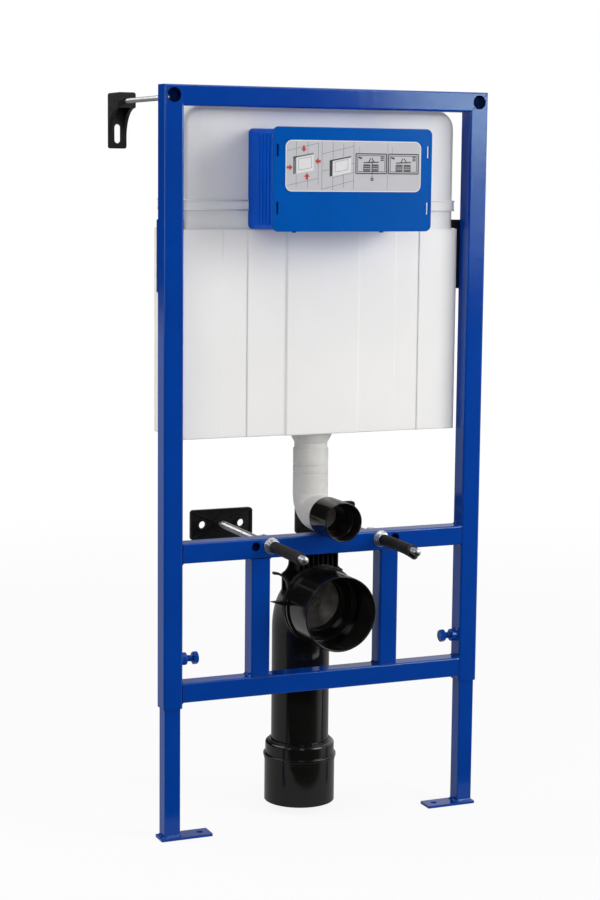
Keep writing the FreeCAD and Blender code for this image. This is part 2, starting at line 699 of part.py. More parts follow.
for side, name in SIDES:
    cut(jacket, "z", JACKET_FOOT, JACKET_TOP,
        rectangle(f"{side} * channel_start", f"{side} * (channel_start + channel_width)",
                  jacket_front, f"{jacket_front} + channel_deep"))
cut(jacket, "z", JACKET_FOOT, TANK_FOOT, circle("0", FLUSH_AXIS, f"{COLLAR_WIDE} + 2 * seat_slack"))

# Plastic hangers between the uprights and the cistern
for side, name in SIDES:
    hanger = new_body(f"{name}_cistern_hanger")
    out_x = f"{side} * (frame_width / 2 - hanger_inset)"
    in_x = f"{side} * ({JACKET_SIDE} + hanger_gap)"
    tab_x = f"{side} * {TANK_SIDE}"
    foot_z = f"({HANGER_HEAD} - hanger_tall)"
    extrude(hanger, "y", "tube", "tube + hanger_thick", [
        (out_x, foot_z), (in_x, foot_z), (in_x, HANGER_TAB_FOOT), (tab_x, HANGER_TAB_FOOT),
        (tab_x, HANGER_HEAD), (out_x, HANGER_HEAD),
    ])

# Access shaft, flaring towards the tank, with upright ribs on both sides
shaft = new_body("access_shaft")


def shaft_loft(kind, grow):
    """Loft the shaft's section from the cover to the tank."""
    ends = []
    for y in (COVER_BACK, "tank_front"):
        sketch = new_sketch(shaft, "y", along=f"-({y})")
        draw(sketch, shaft_section(y, grow))
        ends.append(sketch)
    loft = shaft.newObject(kind, "shaft_loft")
    loft.Profile = ends[0]
    loft.Sections = ends[1:]
    loft.Ruled = True
    return loft


shaft_loft("PartDesign::AdditiveLoft", "0")
shaft_loft("PartDesign::SubtractiveLoft", "-shaft_wall")
corner_x = (SIZES["cover_width"] + SIZES["shaft_flare"]) / 2 - SIZES["shaft_inset"]
round_edges(shaft, "shaft_round", runs_along("y"), lies_at("x", -corner_x, corner_x))
for rib in range(SHAFT_RIBS):
    near = f"{COVER_BACK} + shaft_rib_first + {rib} * shaft_rib_pitch"
    half_width, half_tall = shaft_halves(near)
    for side, name in SIDES:
        extrude(shaft, "y", near, f"{near} + shaft_rib",
                rectangle(f"{side} * ({half_width} - shaft_wall / 2)",
                          f"{side} * ({half_width} + shaft_rib_proud)",
                          f"{COVER_MIDDLE} - {half_tall} + shaft_round",
                          f"{COVER_MIDDLE} + {half_tall} - shaft_round"))

cover = new_body("access_cover")
cover_foot = f"({COVER_MIDDLE} - cover_tall / 2)"
extrude(cover, "y", "-cover_front", COVER_BACK,
        rectangle("-cover_width / 2", "cover_width / 2", cover_foot, f"{cover_foot} + cover_tall"))
round_edges(cover, "cover_round", runs_along("y"))
round_edges(cover, "cover_edge", lies_at("y", limits(cover, "y")[0]))
for tab_x in ("-cover_tab_left", "cover_tab_right"):
    extrude(cover, "y", "cover_edge - cover_front", COVER_BACK,
            rectangle(f"{tab_x} - cover_tab / 2", f"{tab_x} + cover_tab / 2",
                      f"{cover_foot} - cover_tab_drop", cover_foot))
for side, name in SIDES:
    for end in (-1, 1):
        slot_x = f"{side} * (cover_width / 2 - cover_slot_edge)"
        slot_z = f"{COVER_MIDDLE} + {end} * cover_slot_rise / 2"
        cut(cover, "y", "-cover_front", COVER_BACK,
            rectangle(f"{slot_x} - cover_slot / 2", f"{slot_x} + cover_slot / 2",
                      f"{slot_z} - cover_slot_long / 2", f"{slot_z} + cover_slot_long / 2"))

label = new_body("cover_label")
label_middle = f"{COVER_MIDDLE} + label_rise"
extrude(label, "y", "-cover_front - label_thick", "-cover_front",
        rectangle("-label_width / 2", "label_width / 2",
                  f"{label_middle} - label_tall / 2", f"{label_middle} + label_tall / 2"))
round_edges(label, "label_round", runs_along("y"))

# Flush outlet: a cone under the tank whose spigot seats in the flush bend
collar = new_body("flush_collar")
neck = "(flush_pipe / 2 - collar_neck_inset)"
spigot = f"({FLUSH_BORE} / 2 - seat_slack)"
collar_end = f"{FLUSH_TOP} - collar_insert"
revolve(collar, "V_Axis", FLUSH_AXIS, "0", [[
    (f"{OUTLET_BORE} / 2", TANK_FOOT), (f"{COLLAR_WIDE} / 2", TANK_FOOT), (f"{COLLAR_WIDE} / 2", CONE_TOP),
    (neck, f"{CONE_TOP} - collar_cone"), (neck, FLUSH_TOP), (spigot, FLUSH_TOP),
    (spigot, collar_end), (f"{OUTLET_BORE} / 2", collar_end),
]])

# Flush bend with two shallow grooves, the ring on the crossbar and the socket for the bowl's pipe
bend = new_body("flush_bend")
extrude(bend, "z", FLUSH_TURN_Z, FLUSH_TOP, circle("0", FLUSH_AXIS, "flush_pipe"),
        circle("0", FLUSH_AXIS, FLUSH_BORE))
revolve(bend, "H_Axis", "0", FLUSH_TURN_Z,
        [circle("0", f"-{FLUSH_TURN}", "flush_pipe"), circle("0", f"-{FLUSH_TURN}", FLUSH_BORE)],
        sketch_axis="y", along=f"-{FLUSH_TURN_START}", angle=90)
extrude(bend, "y", RING_END, FLUSH_TURN_START, circle("0", FLUSH_HEIGHT, "flush_pipe"),
        circle("0", FLUSH_HEIGHT, FLUSH_BORE))
for groove in range(FLUSH_GROOVES):
    groove_head = f"({FLUSH_TOP} - groove_drop - {groove} * groove_pitch)"
    revolve(bend, "V_Axis", FLUSH_AXIS, "0",
            [rectangle("flush_pipe / 2 - groove_deep", "flush_pipe / 2 + groove_deep",
                       f"{groove_head} - groove_tall", groove_head)], removes=True)

ring = new_body("flush_ring")
extrude(ring, "y", "-flush_ring_gap", RING_END, circle("0", FLUSH_HEIGHT, "flush_ring_across"),
        circle("0", FLUSH_HEIGHT, FLUSH_BORE))
round_edges(ring, "flush_ring_round", circles(SIZES["flush_ring_across"]))

socket = new_body("flush_socket")
socket_floor = "flush_socket_deep - flush_front"
spigot_end = "flush_spigot - flush_ring_gap"
extrude(socket, "y", "-flush_front", "-flush_ring_gap", circle("0", FLUSH_HEIGHT, FLUSH_SOCKET))
extrude(socket, "y", "-flush_ring_gap", spigot_end,
        circle("0", FLUSH_HEIGHT, f"{FLUSH_BORE} - 2 * seat_slack"))
cut(socket, "y", "-flush_front", socket_floor, circle("0", FLUSH_HEIGHT, "flush_socket_bore"))
cut(socket, "y", socket_floor, spigot_end, circle("0", FLUSH_HEIGHT, f"{FLUSH_BORE} - 2 * flush_wall"))

# Drain bend: stepped socket, straight throat and quarter turn
drain = new_body("drain_bend")
turn_z = f"(drain_height - {DRAIN_TURN})"
extrude(drain, "y", "-drain_front", SOCKET_END, circle("0", "drain_height", DRAIN_SOCKET))
extrude(drain, "y", "drain_lip_set - drain_front", LIP_END,
        circle("0", "drain_height", f"{DRAIN_SOCKET} + 2 * drain_lip_proud"))
extrude(drain, "y", SOCKET_END, DRAIN_TURN_START, circle("0", "drain_height", "drain_pipe"))
cut(drain, "y", "-drain_front", "drain_socket_deep - drain_front",
    circle("0", "drain_height", "drain_socket_bore"))
cut(drain, "y", "-drain_front", DRAIN_TURN_START, circle("0", "drain_height", THROAT))
turn = revolve(drain, "H_Axis", "0", turn_z,
               [circle("0", DRAIN_TURN, "drain_pipe"), circle("0", DRAIN_TURN, THROAT)],
               sketch_axis="y", along=f"-{DRAIN_TURN_START}", angle=90)
turn.Reversed = True

# Downpipe welded under the bend
downpipe = new_body("drain_downpipe")
extrude(downpipe, "z", "drain_end", turn_z, circle("0", DRAIN_AXIS, "drain_pipe"),
        circle("0", DRAIN_AXIS, THROAT))

# Disc with a boss that closes the bend
plug = new_body("drain_plug")
plug_front = f"({DRAIN_TURN_START} - plug_thick)"
extrude(plug, "y", plug_front, DRAIN_TURN_START, circle("0", "drain_height", f"{THROAT} - 2 * seat_slack"))
extrude(plug, "y", f"{plug_front} - plug_boss_proud", plug_front, circle("0", "drain_height", "plug_boss"))

# Adaptor under the downpipe: lip, rounded shoulder, bead and band
adaptor = new_body("drain_adaptor")
pipe_seat = "(drain_pipe / 2 + seat_slack)"
lip_out = f"({pipe_seat} + adaptor_lip)"
shoulder_out = f"({ADAPTOR_PIPE} / 2 - adaptor_inset)"
shoulder_z = "(adaptor_top - adaptor_step)"
bead_out = f"({ADAPTOR_PIPE} / 2 + adaptor_bead_proud)"
bead_head = "(adaptor_bead_foot + adaptor_bead_tall)"
band_out = f"({ADAPTOR_PIPE} / 2 + adaptor_band_proud)"
band_foot = "(adaptor_bead_foot - adaptor_band)"
pipe_bore = f"({ADAPTOR_PIPE} / 2 - adaptor_wall)"
step_z = "(drain_end - adaptor_wall)"
revolve(adaptor, "V_Axis", DRAIN_AXIS, "0", [[
    (pipe_seat, "adaptor_top"), (lip_out, "adaptor_top"), (lip_out, shoulder_z), (shoulder_out, shoulder_z),
    (shoulder_out, bead_head), (bead_out, bead_head), (bead_out, "adaptor_bead_foot"),
    (band_out, "adaptor_bead_foot"), (band_out, band_foot), (f"{ADAPTOR_PIPE} / 2", band_foot),
    (f"{ADAPTOR_PIPE} / 2", "adaptor_end"), (pipe_bore, "adaptor_end"), (pipe_bore, step_z),
    (f"{THROAT} / 2", step_z), (f"{THROAT} / 2", "drain_end"), (pipe_seat, "drain_end"),
]])
adaptor_across = SIZES["drain_pipe"] + SIZES["adaptor_over"]
shoulder_across = adaptor_across - 2 * SIZES["adaptor_inset"]
shoulder_place = SIZES["adaptor_top"] - SIZES["adaptor_step"]
round_edges(adaptor, "adaptor_shoulder", circles(shoulder_across), lies_at("z", shoulder_place))
round_edges(adaptor, "adaptor_bead_round", circles(adaptor_across + 2 * SIZES["adaptor_bead_proud"]))

# Strap clip round the end of the socket, with a curled ear and a spike on its left
clip = new_body("drain_clip")
clip_front = f"({LIP_END} + clip_gap)"
clip_back = f"({clip_front} + clip_wide)"
clip_bore = f"({DRAIN_SOCKET} + 2 * seat_slack)"
clip_side = f"({clip_bore} / 2 + clip_thick)"
extrude(clip, "y", clip_front, clip_back, circle("0", "drain_height", f"2 * {clip_side}"))
extrude(clip, "y", clip_front, clip_back, [
    (f"clip_thick - {clip_side}", "drain_height + spike_foot"),
    (f"-{clip_side} - spike_long", "drain_height + spike_tip"),
    (f"clip_thick - {clip_side}", "drain_height + spike_foot + spike_tall"),
])
ear_x = f"(ear_inset - {clip_side})"
tail = revolve(clip, "V_Axis", f"{ear_x} - ear_bend", "0",
               [rectangle("ear_bend", "ear_bend + ear_thick", clip_front, clip_back)],
               sketch_axis="z", along="drain_height + ear_root", angle=90)
tail.Reversed = True
cut(clip, "y", clip_front, clip_back, circle("0", "drain_height", clip_bore))

# Ribbed holder behind the crossbar, arched over the throat, with hollow flanks
holder = new_body("drain_holder")
holder_front = f"({DRAIN_TURN_START} + holder_set)"
holder_back = f"({holder_front} + holder_plate)"
holder_head = f"({UPPER_BAR} + tube / 2 - holder_drop)"
flank_z = "(drain_height + drain_pipe / 2 + holder_shoulder)"
arch_foot = "(drain_height + holder_arch_foot)"
rib_foot = "(drain_height + drain_pipe / 2 + holder_rib_foot)"
leg_out = "(drain_pipe / 2 + holder_leg)"
extrude(holder, "y", holder_front, holder_back, [
    ("-holder_width / 2", holder_head), ("-holder_width / 2", flank_z), (f"-{leg_out}", flank_z),
    (f"-{leg_out}", arch_foot), (leg_out, arch_foot), (leg_out, flank_z),
    ("holder_width / 2", flank_z), ("holder_width / 2", holder_head),
])
for side, name in SIDES:
    cut(holder, "y", holder_front, holder_back,
        circle(f"{side} * (holder_width / 2 + holder_shoulder)", flank_z, "2 * holder_shoulder"))
for rib in range(HOLDER_RIBS):
    rib_x = f"({rib} - {HOLDER_RIBS - 1} / 2) * holder_rib_pitch"
    extrude(holder, "y", "tube", holder_front,
            rectangle(f"{rib_x} - holder_rib / 2", f"{rib_x} + holder_rib / 2", rib_foot, holder_head))
cut(holder, "y", holder_front, holder_back, circle("0", "drain_height", "drain_pipe + 2 * holder_slack"))

# Every piece has to be whole before anything is written
doc.recompute()
for thing in doc.Objects:
    if "Invalid" in thing.State or "Error" in thing.State:
        raise RuntimeError(f"{thing.Name} failed: {thing.State}")
    removes = thing.TypeId in ("PartDesign::Pocket", "PartDesign::Groove", "PartDesign::SubtractiveLoft")
    if removes and thing.Shape.Volume >= thing.BaseFeature.Shape.Volume:
        raise RuntimeError(f"{thing.Name} removes nothing")
for body in pieces:
    if body.Shape.isNull() or not body.Shape.isValid():
        raise RuntimeError(f"{body.Label} has no valid shape")
    if len(body.Shape.Solids) != 1:
        raise RuntimeError(f"{body.Label} is in {len(body.Shape.Solids)} solids")

os.makedirs("parts", exist_ok=True)
for body in pieces:
    body.Shape.exportStep(f"parts/{body.Label}.step")
print(f"{len(pieces)} sub-parts written")
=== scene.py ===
import json
import math

import bmesh
import bpy
from mathutils import Matrix, Vector, noise


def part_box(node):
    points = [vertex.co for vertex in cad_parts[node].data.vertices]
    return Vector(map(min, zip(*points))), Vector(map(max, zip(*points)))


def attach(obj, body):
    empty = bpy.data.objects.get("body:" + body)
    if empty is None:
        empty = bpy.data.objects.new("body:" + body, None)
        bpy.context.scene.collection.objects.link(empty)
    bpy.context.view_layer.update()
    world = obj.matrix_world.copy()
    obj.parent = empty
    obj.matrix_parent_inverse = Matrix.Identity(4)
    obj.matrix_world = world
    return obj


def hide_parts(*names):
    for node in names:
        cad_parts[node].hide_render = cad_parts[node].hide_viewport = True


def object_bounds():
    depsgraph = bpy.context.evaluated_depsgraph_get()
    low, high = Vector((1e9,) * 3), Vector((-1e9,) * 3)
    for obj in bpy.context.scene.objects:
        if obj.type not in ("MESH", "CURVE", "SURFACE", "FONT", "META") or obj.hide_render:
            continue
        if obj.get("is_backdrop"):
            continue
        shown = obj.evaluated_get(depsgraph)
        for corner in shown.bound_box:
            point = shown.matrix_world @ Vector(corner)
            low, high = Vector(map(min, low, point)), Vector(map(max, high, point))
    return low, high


# Looks of the installation frame for a wall hung toilet. Places are given as in the part's source:
# X from the frame's centre line, Y from the front face of its tubes towards the wall, Z from the
# floor, in millimetres. place() turns them into the row frame.

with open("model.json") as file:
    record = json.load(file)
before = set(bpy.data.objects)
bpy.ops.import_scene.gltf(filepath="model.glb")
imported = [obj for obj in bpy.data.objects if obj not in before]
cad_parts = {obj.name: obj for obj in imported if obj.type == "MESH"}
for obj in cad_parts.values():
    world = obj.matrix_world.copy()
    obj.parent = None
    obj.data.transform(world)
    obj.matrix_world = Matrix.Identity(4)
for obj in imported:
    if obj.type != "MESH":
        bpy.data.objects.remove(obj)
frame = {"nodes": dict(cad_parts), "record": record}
cad_low, cad_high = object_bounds()
nodes = frame["nodes"]
scene = bpy.context.scene

MM = 0.001
SIDES = ((-1, "left"), (1, "right"))
RIGHT = Vector((1, 0, 0))
BACK = Vector((0, 1, 0))
UP = Vector((0, 0, 1))

rail_low, rail_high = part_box("top_rail")
ORIGIN = Vector(((rail_low.x + rail_high.x) / 2, rail_low.y, cad_low.z))


def place(x, y, z):
    return ORIGIN + Vector((x, y, z)) * MM


def local_box(node):
    """Lowest and highest corner of a node in millimetres from the centre line, front face and floor."""
    low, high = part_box(node)
    return (low - ORIGIN) / MM, (high - ORIGIN) / MM


def middle(node):
    low, high = local_box(node)
    return (low + high) / 2


# Materials

LOW_STOP = 0.3
HIGH_STOP = 0.7
MOTTLE_DETAIL = 4.0
GLOSS_DETAIL = 5.0
GLOSS_ROUGH = 0.6
BEVEL_SAMPLES = 4


def srgb(red, green, blue):
    """Linear colour of a colour as it is seen, from 0 to 255."""
    def linear(value):
        value = value / 255
        return value / 12.92 if value <= 0.04045 else ((value + 0.055) / 1.055) ** 2.4
    return (linear(red), linear(green), linear(blue), 1.0)


def grey(value):
    return (value, value, value, 1.0)


def shade(colour, factor):
    return tuple(min(1.0, part * factor) for part in colour[:3]) + (1.0,)


def shader_of(made):
    return made.node_tree.nodes["Principled BSDF"]


def new_shader(name, colour, rough, **sockets):
    """Material with a principled shader and the sockets that are the same all over."""
    made = bpy.data.materials.new(name)
    made.use_nodes = True
    bsdf = shader_of(made)
    bsdf.inputs["Base Color"].default_value = colour
    bsdf.inputs["Roughness"].default_value = rough
    for socket, value in sockets.items():
        bsdf.inputs[socket.replace("_", " ")].default_value = value
    return made


def object_space(tree):
    return tree.nodes.new("ShaderNodeTexCoord").outputs["Object"]


def noise_field(tree, scale, detail, rough=0.5):
    field = tree.nodes.new("ShaderNodeTexNoise")
    field.inputs["Scale"].default_value = scale
    field.inputs["Detail"].default_value = detail
    field.inputs["Roughness"].default_value = rough
    tree.links.new(object_space(tree), field.inputs["Vector"])
    return field.outputs["Fac"]


def cell_field(tree, scale):
    field = tree.nodes.new("ShaderNodeTexVoronoi")
    field.inputs["Scale"].default_value = scale
    tree.links.new(object_space(tree), field.inputs["Vector"])
    return field.outputs["Distance"]


def ramp(tree, field, stops):
    """Colours or greys along a field from 0 to 1."""
    node = tree.nodes.new("ShaderNodeValToRGB")
    bar = node.color_ramp
    while len(bar.elements) < len(stops):
        bar.elements.new(1.0)
    for element, (position, colour) in zip(bar.elements, stops):
        element.position = position
        element.color = colour
    tree.links.new(field, node.inputs["Fac"])
    return node.outputs["Color"]


def mottle(made, scale, low, high):
    """Let the colour drift between a darker and a lighter shade of itself."""
    tree = made.node_tree
    bsdf = shader_of(made)
    base = tuple(bsdf.inputs["Base Color"].default_value)
    field = noise_field(tree, scale, MOTTLE_DETAIL)
    drift = ramp(tree, field, [(LOW_STOP, shade(base, low)), (HIGH_STOP, shade(base, high))])
    tree.links.new(drift, bsdf.inputs["Base Color"])


def vary_gloss(made, scale, low, high):
    tree = made.node_tree
    field = noise_field(tree, scale, GLOSS_DETAIL, GLOSS_ROUGH)
    gloss = ramp(tree, field, [(LOW_STOP, grey(low)), (HIGH_STOP, grey(high))])
    tree.links.new(gloss, shader_of(made).inputs["Roughness"])


def relief(made, layers, edge):
    """Bump from several fields with heights, over edges rounded by a bevel. Sizes in millimetres."""
    tree = made.node_tree
    normal = None
    if edge:
        rounded = tree.nodes.new("ShaderNodeBevel")
        rounded.samples = BEVEL_SAMPLES
        rounded.inputs["Radius"].default_value = edge * MM
        normal = rounded.outputs["Normal"]
    for field, height in layers:
        bump = tree.nodes.new("ShaderNodeBump")
        bump.inputs["Distance"].default_value = height * MM
        tree.links.new(field, bump.inputs["Height"])
        if normal:
            tree.links.new(normal, bump.inputs["Normal"])
        normal = bump.outputs["Normal"]
    tree.links.new(normal, shader_of(made).inputs["Normal"])


def surface(name, colour, drift, gloss=None, rough=0.5, bumps=(), edge=0.0, **sockets):
    """Material whose colour drifts. Drift and gloss are a noise scale with a low and a high value,
    bumps a noise scale, detail and height."""
    made = new_shader(name, colour, sum(gloss[1:]) / 2 if gloss else rough, **sockets)
    mottle(made, *drift)
    if gloss:
        vary_gloss(made, *gloss)
    if bumps:
        tree = made.node_tree
        relief(made, [(noise_field(tree, scale, detail), height) for scale, detail, height in bumps], edge)
    return made


blue_paint = surface("blue_paint", srgb(0, 57, 146), (9, 0.94, 1.06), (40, 0.11, 0.15),
                     bumps=((420, 2.0, 0.06), (60, 2.0, 0.12)),
                     Specular_IOR_Level=0.5, Specular_Tint=(0.75, 1.0, 0.95, 1.0))
# Dark navy for the joint lines and mitre seams: painted shade in the creases between the tubes
crease_shade_paint = surface("crease_shade_paint", srgb(0, 30, 92), (120, 0.8, 1.25), (90, 0.24, 0.4),
                      Specular_IOR_Level=0.3)

PLASTIC_DRIFT = (14, 0.93, 1.08)
PLASTIC_BUMPS = ((1600, 2.0, 0.03),)
PLASTIC_EDGE = 1.4
PLASTIC_TINT = (0.7, 1.0, 0.95, 1.0)
blue_plastic = surface("blue_plastic", srgb(0, 78, 163), PLASTIC_DRIFT, (70, 0.14, 0.19),
                       bumps=PLASTIC_BUMPS, edge=PLASTIC_EDGE,
                       Specular_IOR_Level=0.09, Specular_Tint=PLASTIC_TINT)
shaft_plastic = surface("shaft_plastic", srgb(0, 84, 198), PLASTIC_DRIFT, (70, 0.34, 0.46),
                        bumps=PLASTIC_BUMPS, edge=PLASTIC_EDGE,
                        Specular_IOR_Level=0.03, Specular_Tint=PLASTIC_TINT)
# Dark blue for the blocks behind the cover's left slots: painted shade in the slots
slot_shade_plastic = surface("slot_shade_plastic", srgb(0, 38, 104), (120, 0.85, 1.2), (200, 0.32, 0.5),
                        Specular_IOR_Level=0.2)

ZINC_BUMPS = ((900, 3.0, 0.04),)
ZINC_EDGE = 0.3
# Lit and shaded copies of one zinc: the nuts get a lighter copy as a painted highlight, the studs and rods a
# darker one as painted shade
zinc_steel = surface("zinc_steel", srgb(184, 185, 187), (180, 0.82, 1.05), (260, 0.24, 0.44),
                     bumps=ZINC_BUMPS, edge=ZINC_EDGE, Metallic=1.0)
highlight_zinc = surface("highlight_zinc", srgb(232, 233, 235), (180, 0.8, 1.05), (260, 0.28, 0.5),
                      bumps=ZINC_BUMPS, edge=ZINC_EDGE, Metallic=1.0)

black_moulding = surface("black_moulding", srgb(18, 18, 17), (60, 0.8, 1.25), (120, 0.36, 0.55),
                         bumps=((1400, 3.0, 0.06),), edge=0.6, Specular_IOR_Level=0.28)
black_pipe = surface("black_pipe", srgb(17, 16, 15), (25, 0.85, 1.2), (30, 0.1, 0.17),
                     bumps=((700, 2.0, 0.02), (45, 2.0, 0.12)), edge=0.7, Specular_IOR_Level=0.42)
black_sleeve = surface("black_sleeve", srgb(30, 28, 26), (90, 0.8, 1.25), (160, 0.52, 0.72),
                       bumps=((1100, 3.0, 0.08),), Specular_IOR_Level=0.35)
# The disc's grey is partly its own moulding and partly painted light: lightened and strongly mottled to stand
# in for light and glints reaching into the socket
plug_plastic = surface("plug_plastic", srgb(92, 89, 86), (55, 0.5, 1.5), (90, 0.3, 0.5),
                       bumps=((900, 2.0, 0.04),), Specular_IOR_Level=0.6)
seal_rubber = surface("seal_rubber", srgb(30, 29, 28), (80, 0.85, 1.2), (60, 0.1, 0.2),
                      bumps=((500, 2.0, 0.03),), Specular_IOR_Level=0.6)

white_pipe = surface("white_pipe", srgb(214, 212, 208), (22, 0.95, 1.02), (60, 0.25, 0.38),
                     bumps=((300, 2.0, 0.05),), edge=0.6, Specular_IOR_Level=0.45,
                     Subsurface_Weight=0.25, Subsurface_Scale=0.004)
white_tank = surface("white_tank", srgb(229, 228, 226), (6, 0.95, 1.02), (30, 0.36, 0.5),
                     bumps=((26, 3.0, 0.6), (500, 2.0, 0.05)), Specular_IOR_Level=0.4,
                     Subsurface_Weight=0.2, Subsurface_Scale=0.006)
white_foam = surface("white_foam", srgb(236, 235, 233), (5, 0.965, 1.01), rough=0.78,
                     Specular_IOR_Level=0.25)
foam_cells = cell_field(white_foam.node_tree, 260)
foam_waves = noise_field(white_foam.node_tree, 30, 3.0)
relief(white_foam, [(foam_cells, 0.07), (foam_waves, 0.18)], edge=4.0)

label_print = surface("label_print", srgb(183, 183, 187), (30, 0.97, 1.01), rough=0.4,
                      bumps=((60, 2.0, 0.1),), Specular_IOR_Level=0.3)
grey_ink = surface("grey_ink", srgb(98, 99, 102), (300, 0.9, 1.1))
dark_ink = surface("dark_ink", srgb(36, 36, 38), (300, 0.85, 1.15))
red_ink = surface("red_ink", srgb(172, 34, 31), (300, 0.9, 1.1))
pale_ink = surface("pale_ink", srgb(208, 208, 210), (300, 0.97, 1.0))
white_ink = surface("white_ink", srgb(226, 226, 227), (300, 0.97, 1.0))

MATERIALS = {
    "blue_paint": blue_paint, "blue_plastic": blue_plastic, "zinc_steel": zinc_steel,
    "black_moulding": black_moulding, "black_pipe": black_pipe, "black_sleeve": black_sleeve,
    "white_pipe": white_pipe, "white_tank": white_tank, "white_foam": white_foam,
    "label_print": label_print,
}
NODE_MATERIALS = {"access_shaft": shaft_plastic}
for row in frame["record"]["subparts"]:
    looks = nodes[row["node"]].data.materials
    looks.clear()
    looks.append(NODE_MATERIALS.get(row["node"], MATERIALS[row["material_slot"]]))


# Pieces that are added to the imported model

def add_object(name, data):
    """Object in the scene that holds a mesh, a camera or a lamp."""
    made = bpy.data.objects.new(name, data)
    scene.collection.objects.link(made)
    return made


def mesh_data(name, mesh):
    data = bpy.data.meshes.new(name)
    mesh.to_mesh(data)
    mesh.free()
    return data


def new_piece(name, mesh, slot, body="frame", material=None, smooth=True):
    """Turn a bmesh into a piece that rides on a body."""
    bmesh.ops.recalc_face_normals(mesh, faces=mesh.faces)
    data = mesh_data(name, mesh)
    for face in data.polygons:
        face.use_smooth = smooth
    data.materials.append(material or MATERIALS[slot])
    piece = add_object(name, data)
    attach(piece, body)
    return piece


def bridge(mesh, rings, closed=True, loop=False, caps=False):
    """Quads between rings of points. The rings are closed outlines unless told otherwise.
    A loop joins the last ring to the first, and caps close both ends."""
    made = [[mesh.verts.new(point) for point in ring] for ring in rings]
    pairs = list(zip(made, made[1:]))
    if loop:
        pairs.append((made[-1], made[0]))
    for first, second in pairs:
        count = len(first)
        for i in range(count if closed else count - 1):
            j = (i + 1) % count
            mesh.faces.new((first[i], first[j], second[j], second[i]))
    if caps:
        mesh.faces.new(made[0])
        mesh.faces.new(made[-1])


def ring_round(centre, axis, radius, count):
    """Points round a level axis. The radius may be a function of the angle."""
    across = axis.cross(UP).normalized()
    high = across.cross(axis).normalized()
    points = []
    for i in range(count):
        angle = math.tau * i / count
        reach = radius(angle) if callable(radius) else radius
        points.append(centre + (across * math.cos(angle) + high * math.sin(angle)) * reach)
    return points


# Screw threads on the studs and the upper rods
THREAD_ROWS = 4
THREAD_SIDES = 18
THREAD_DEPTH = 0.54


def threaded_rod(mesh, start, axis, length, radius, pitch, bevel=0.0):
    """Rod with a screw thread from a bevelled tip at start to its other end."""
    steps = round(length / pitch * THREAD_ROWS)
    rings = []
    for step in range(steps + 1):
        along = length * step / steps
        cap = radius - max(0.0, bevel - along)

        def reach(angle):
            phase = (along / pitch + angle / math.tau) % 1.0
            return min(cap, radius - THREAD_DEPTH * pitch * abs(2 * phase - 1))
        rings.append(ring_round(start + axis * along, axis, reach, THREAD_SIDES))
    bridge(mesh, rings, caps=True)


# Pitch of the thread and bevel of the tip
ROD_THREADS = (("stud", 1.75 * MM, 1.6 * MM), ("top_rod", 1.25 * MM, 1.0 * MM))
for side, name in SIDES:
    for kind, pitch, tip in ROD_THREADS:
        node = f"{name}_{kind}"
        low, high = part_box(node)
        start = Vector(((low.x + high.x) / 2, low.y, (low.z + high.z) / 2))
        mesh = bmesh.new()
        threaded_rod(mesh, start, BACK, high.y - low.y, (high.z - low.z) / 2, pitch, tip)
        piece = new_piece(f"{node}_thread", mesh, "zinc_steel")
        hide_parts(node)


# Chamfered hexagon nuts on washers with rounded rims
NUT_SIDES = 72
NUT_CROWN = 0.94
NUT_SLOPE = math.tan(math.radians(30))
WASHER_ROUND = 0.35 * MM


def hex_reach(across, angle):
    turn = (angle + math.pi / 6) % (math.pi / 3) - math.pi / 6
    return across / 2 / math.cos(turn)


def hex_nut(mesh, base, axis, across, thick, hole=0.0, turn=0.0):
    """Nut, or a screw head where there is no hole, whose corners are cut by a cone at both faces."""
    crown = across / 2 * NUT_CROWN

    def outline(offset, upper):
        points = []
        for point in ring_round(base, axis, lambda angle: hex_reach(across, angle), NUT_SIDES):
            drop = ((point - base).length - crown) * NUT_SLOPE
            points.append(point + axis * (offset - drop if upper else offset + drop))
        return points
    top = base + axis * thick
    rings = [
        ring_round(base, axis, crown, NUT_SIDES), outline(0.0, False), outline(thick, True),
        ring_round(top, axis, crown, NUT_SIDES),
    ]
    if hole:
        rings = [ring_round(base, axis, hole, NUT_SIDES), *rings, ring_round(top, axis, hole, NUT_SIDES)]
    spin = Matrix.Rotation(turn, 4, axis)
    rings = [[base + spin @ (point - base) for point in ring] for ring in rings]
    bridge(mesh, rings, loop=bool(hole), caps=not hole)


def washer(mesh, base, axis, radius, thick, hole):
    edge = WASHER_ROUND
    profile = ((hole, 0.0), (radius - edge, 0.0), (radius, edge), (radius, thick - edge),
               (radius - edge, thick), (hole, thick))
    rings = [ring_round(base + axis * along, axis, reach, NUT_SIDES) for reach, along in profile]
    bridge(mesh, rings, loop=True)


NUT_ACROSS = 19 * MM
NUT_HOLE = 6.05 * MM
WASHER_THICK = 2.5 * MM
NUT_TURNS = {"left_front_nut": 0.2, "right_front_nut": 0.7, "left_rear_nut": 0.45, "right_rear_nut": 0.9}
for node, turn in NUT_TURNS.items():
    low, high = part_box(node)
    axis = -BACK if "front" in node else BACK
    seat = Vector(((low.x + high.x) / 2, high.y if "front" in node else low.y, (low.z + high.z) / 2))
    thick = high.y - low.y - WASHER_THICK
    mesh = bmesh.new()
    washer(mesh, seat, axis, (high.z - low.z) / 2, WASHER_THICK, NUT_HOLE)
    hex_nut(mesh, seat + axis * WASHER_THICK, axis, NUT_ACROSS, thick, NUT_HOLE, turn)
    # The nuts' lighter zinc is a painted highlight
    piece = new_piece(f"{node}_turned", mesh, "zinc_steel", material=highlight_zinc, smooth=False)
    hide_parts(node)


# Rubber sleeves on the studs, cut off at a slant, the right one drooping at its end
SLEEVE_SIDES = 40
SLEEVE_STEPS = 34
SLEEVE_WALL = 2.5
SLEEVE_RIM = 1.004
SLEEVE_SWELL = 0.012
SWELL_WAVES = 9
SLANT_SET_BACK = 0.4
DROOP_FROM = 0.62
# Slant of the cut and droop of the end
SLEEVES = {"left": (5.0, 0.8), "right": (9.0, 3.2)}


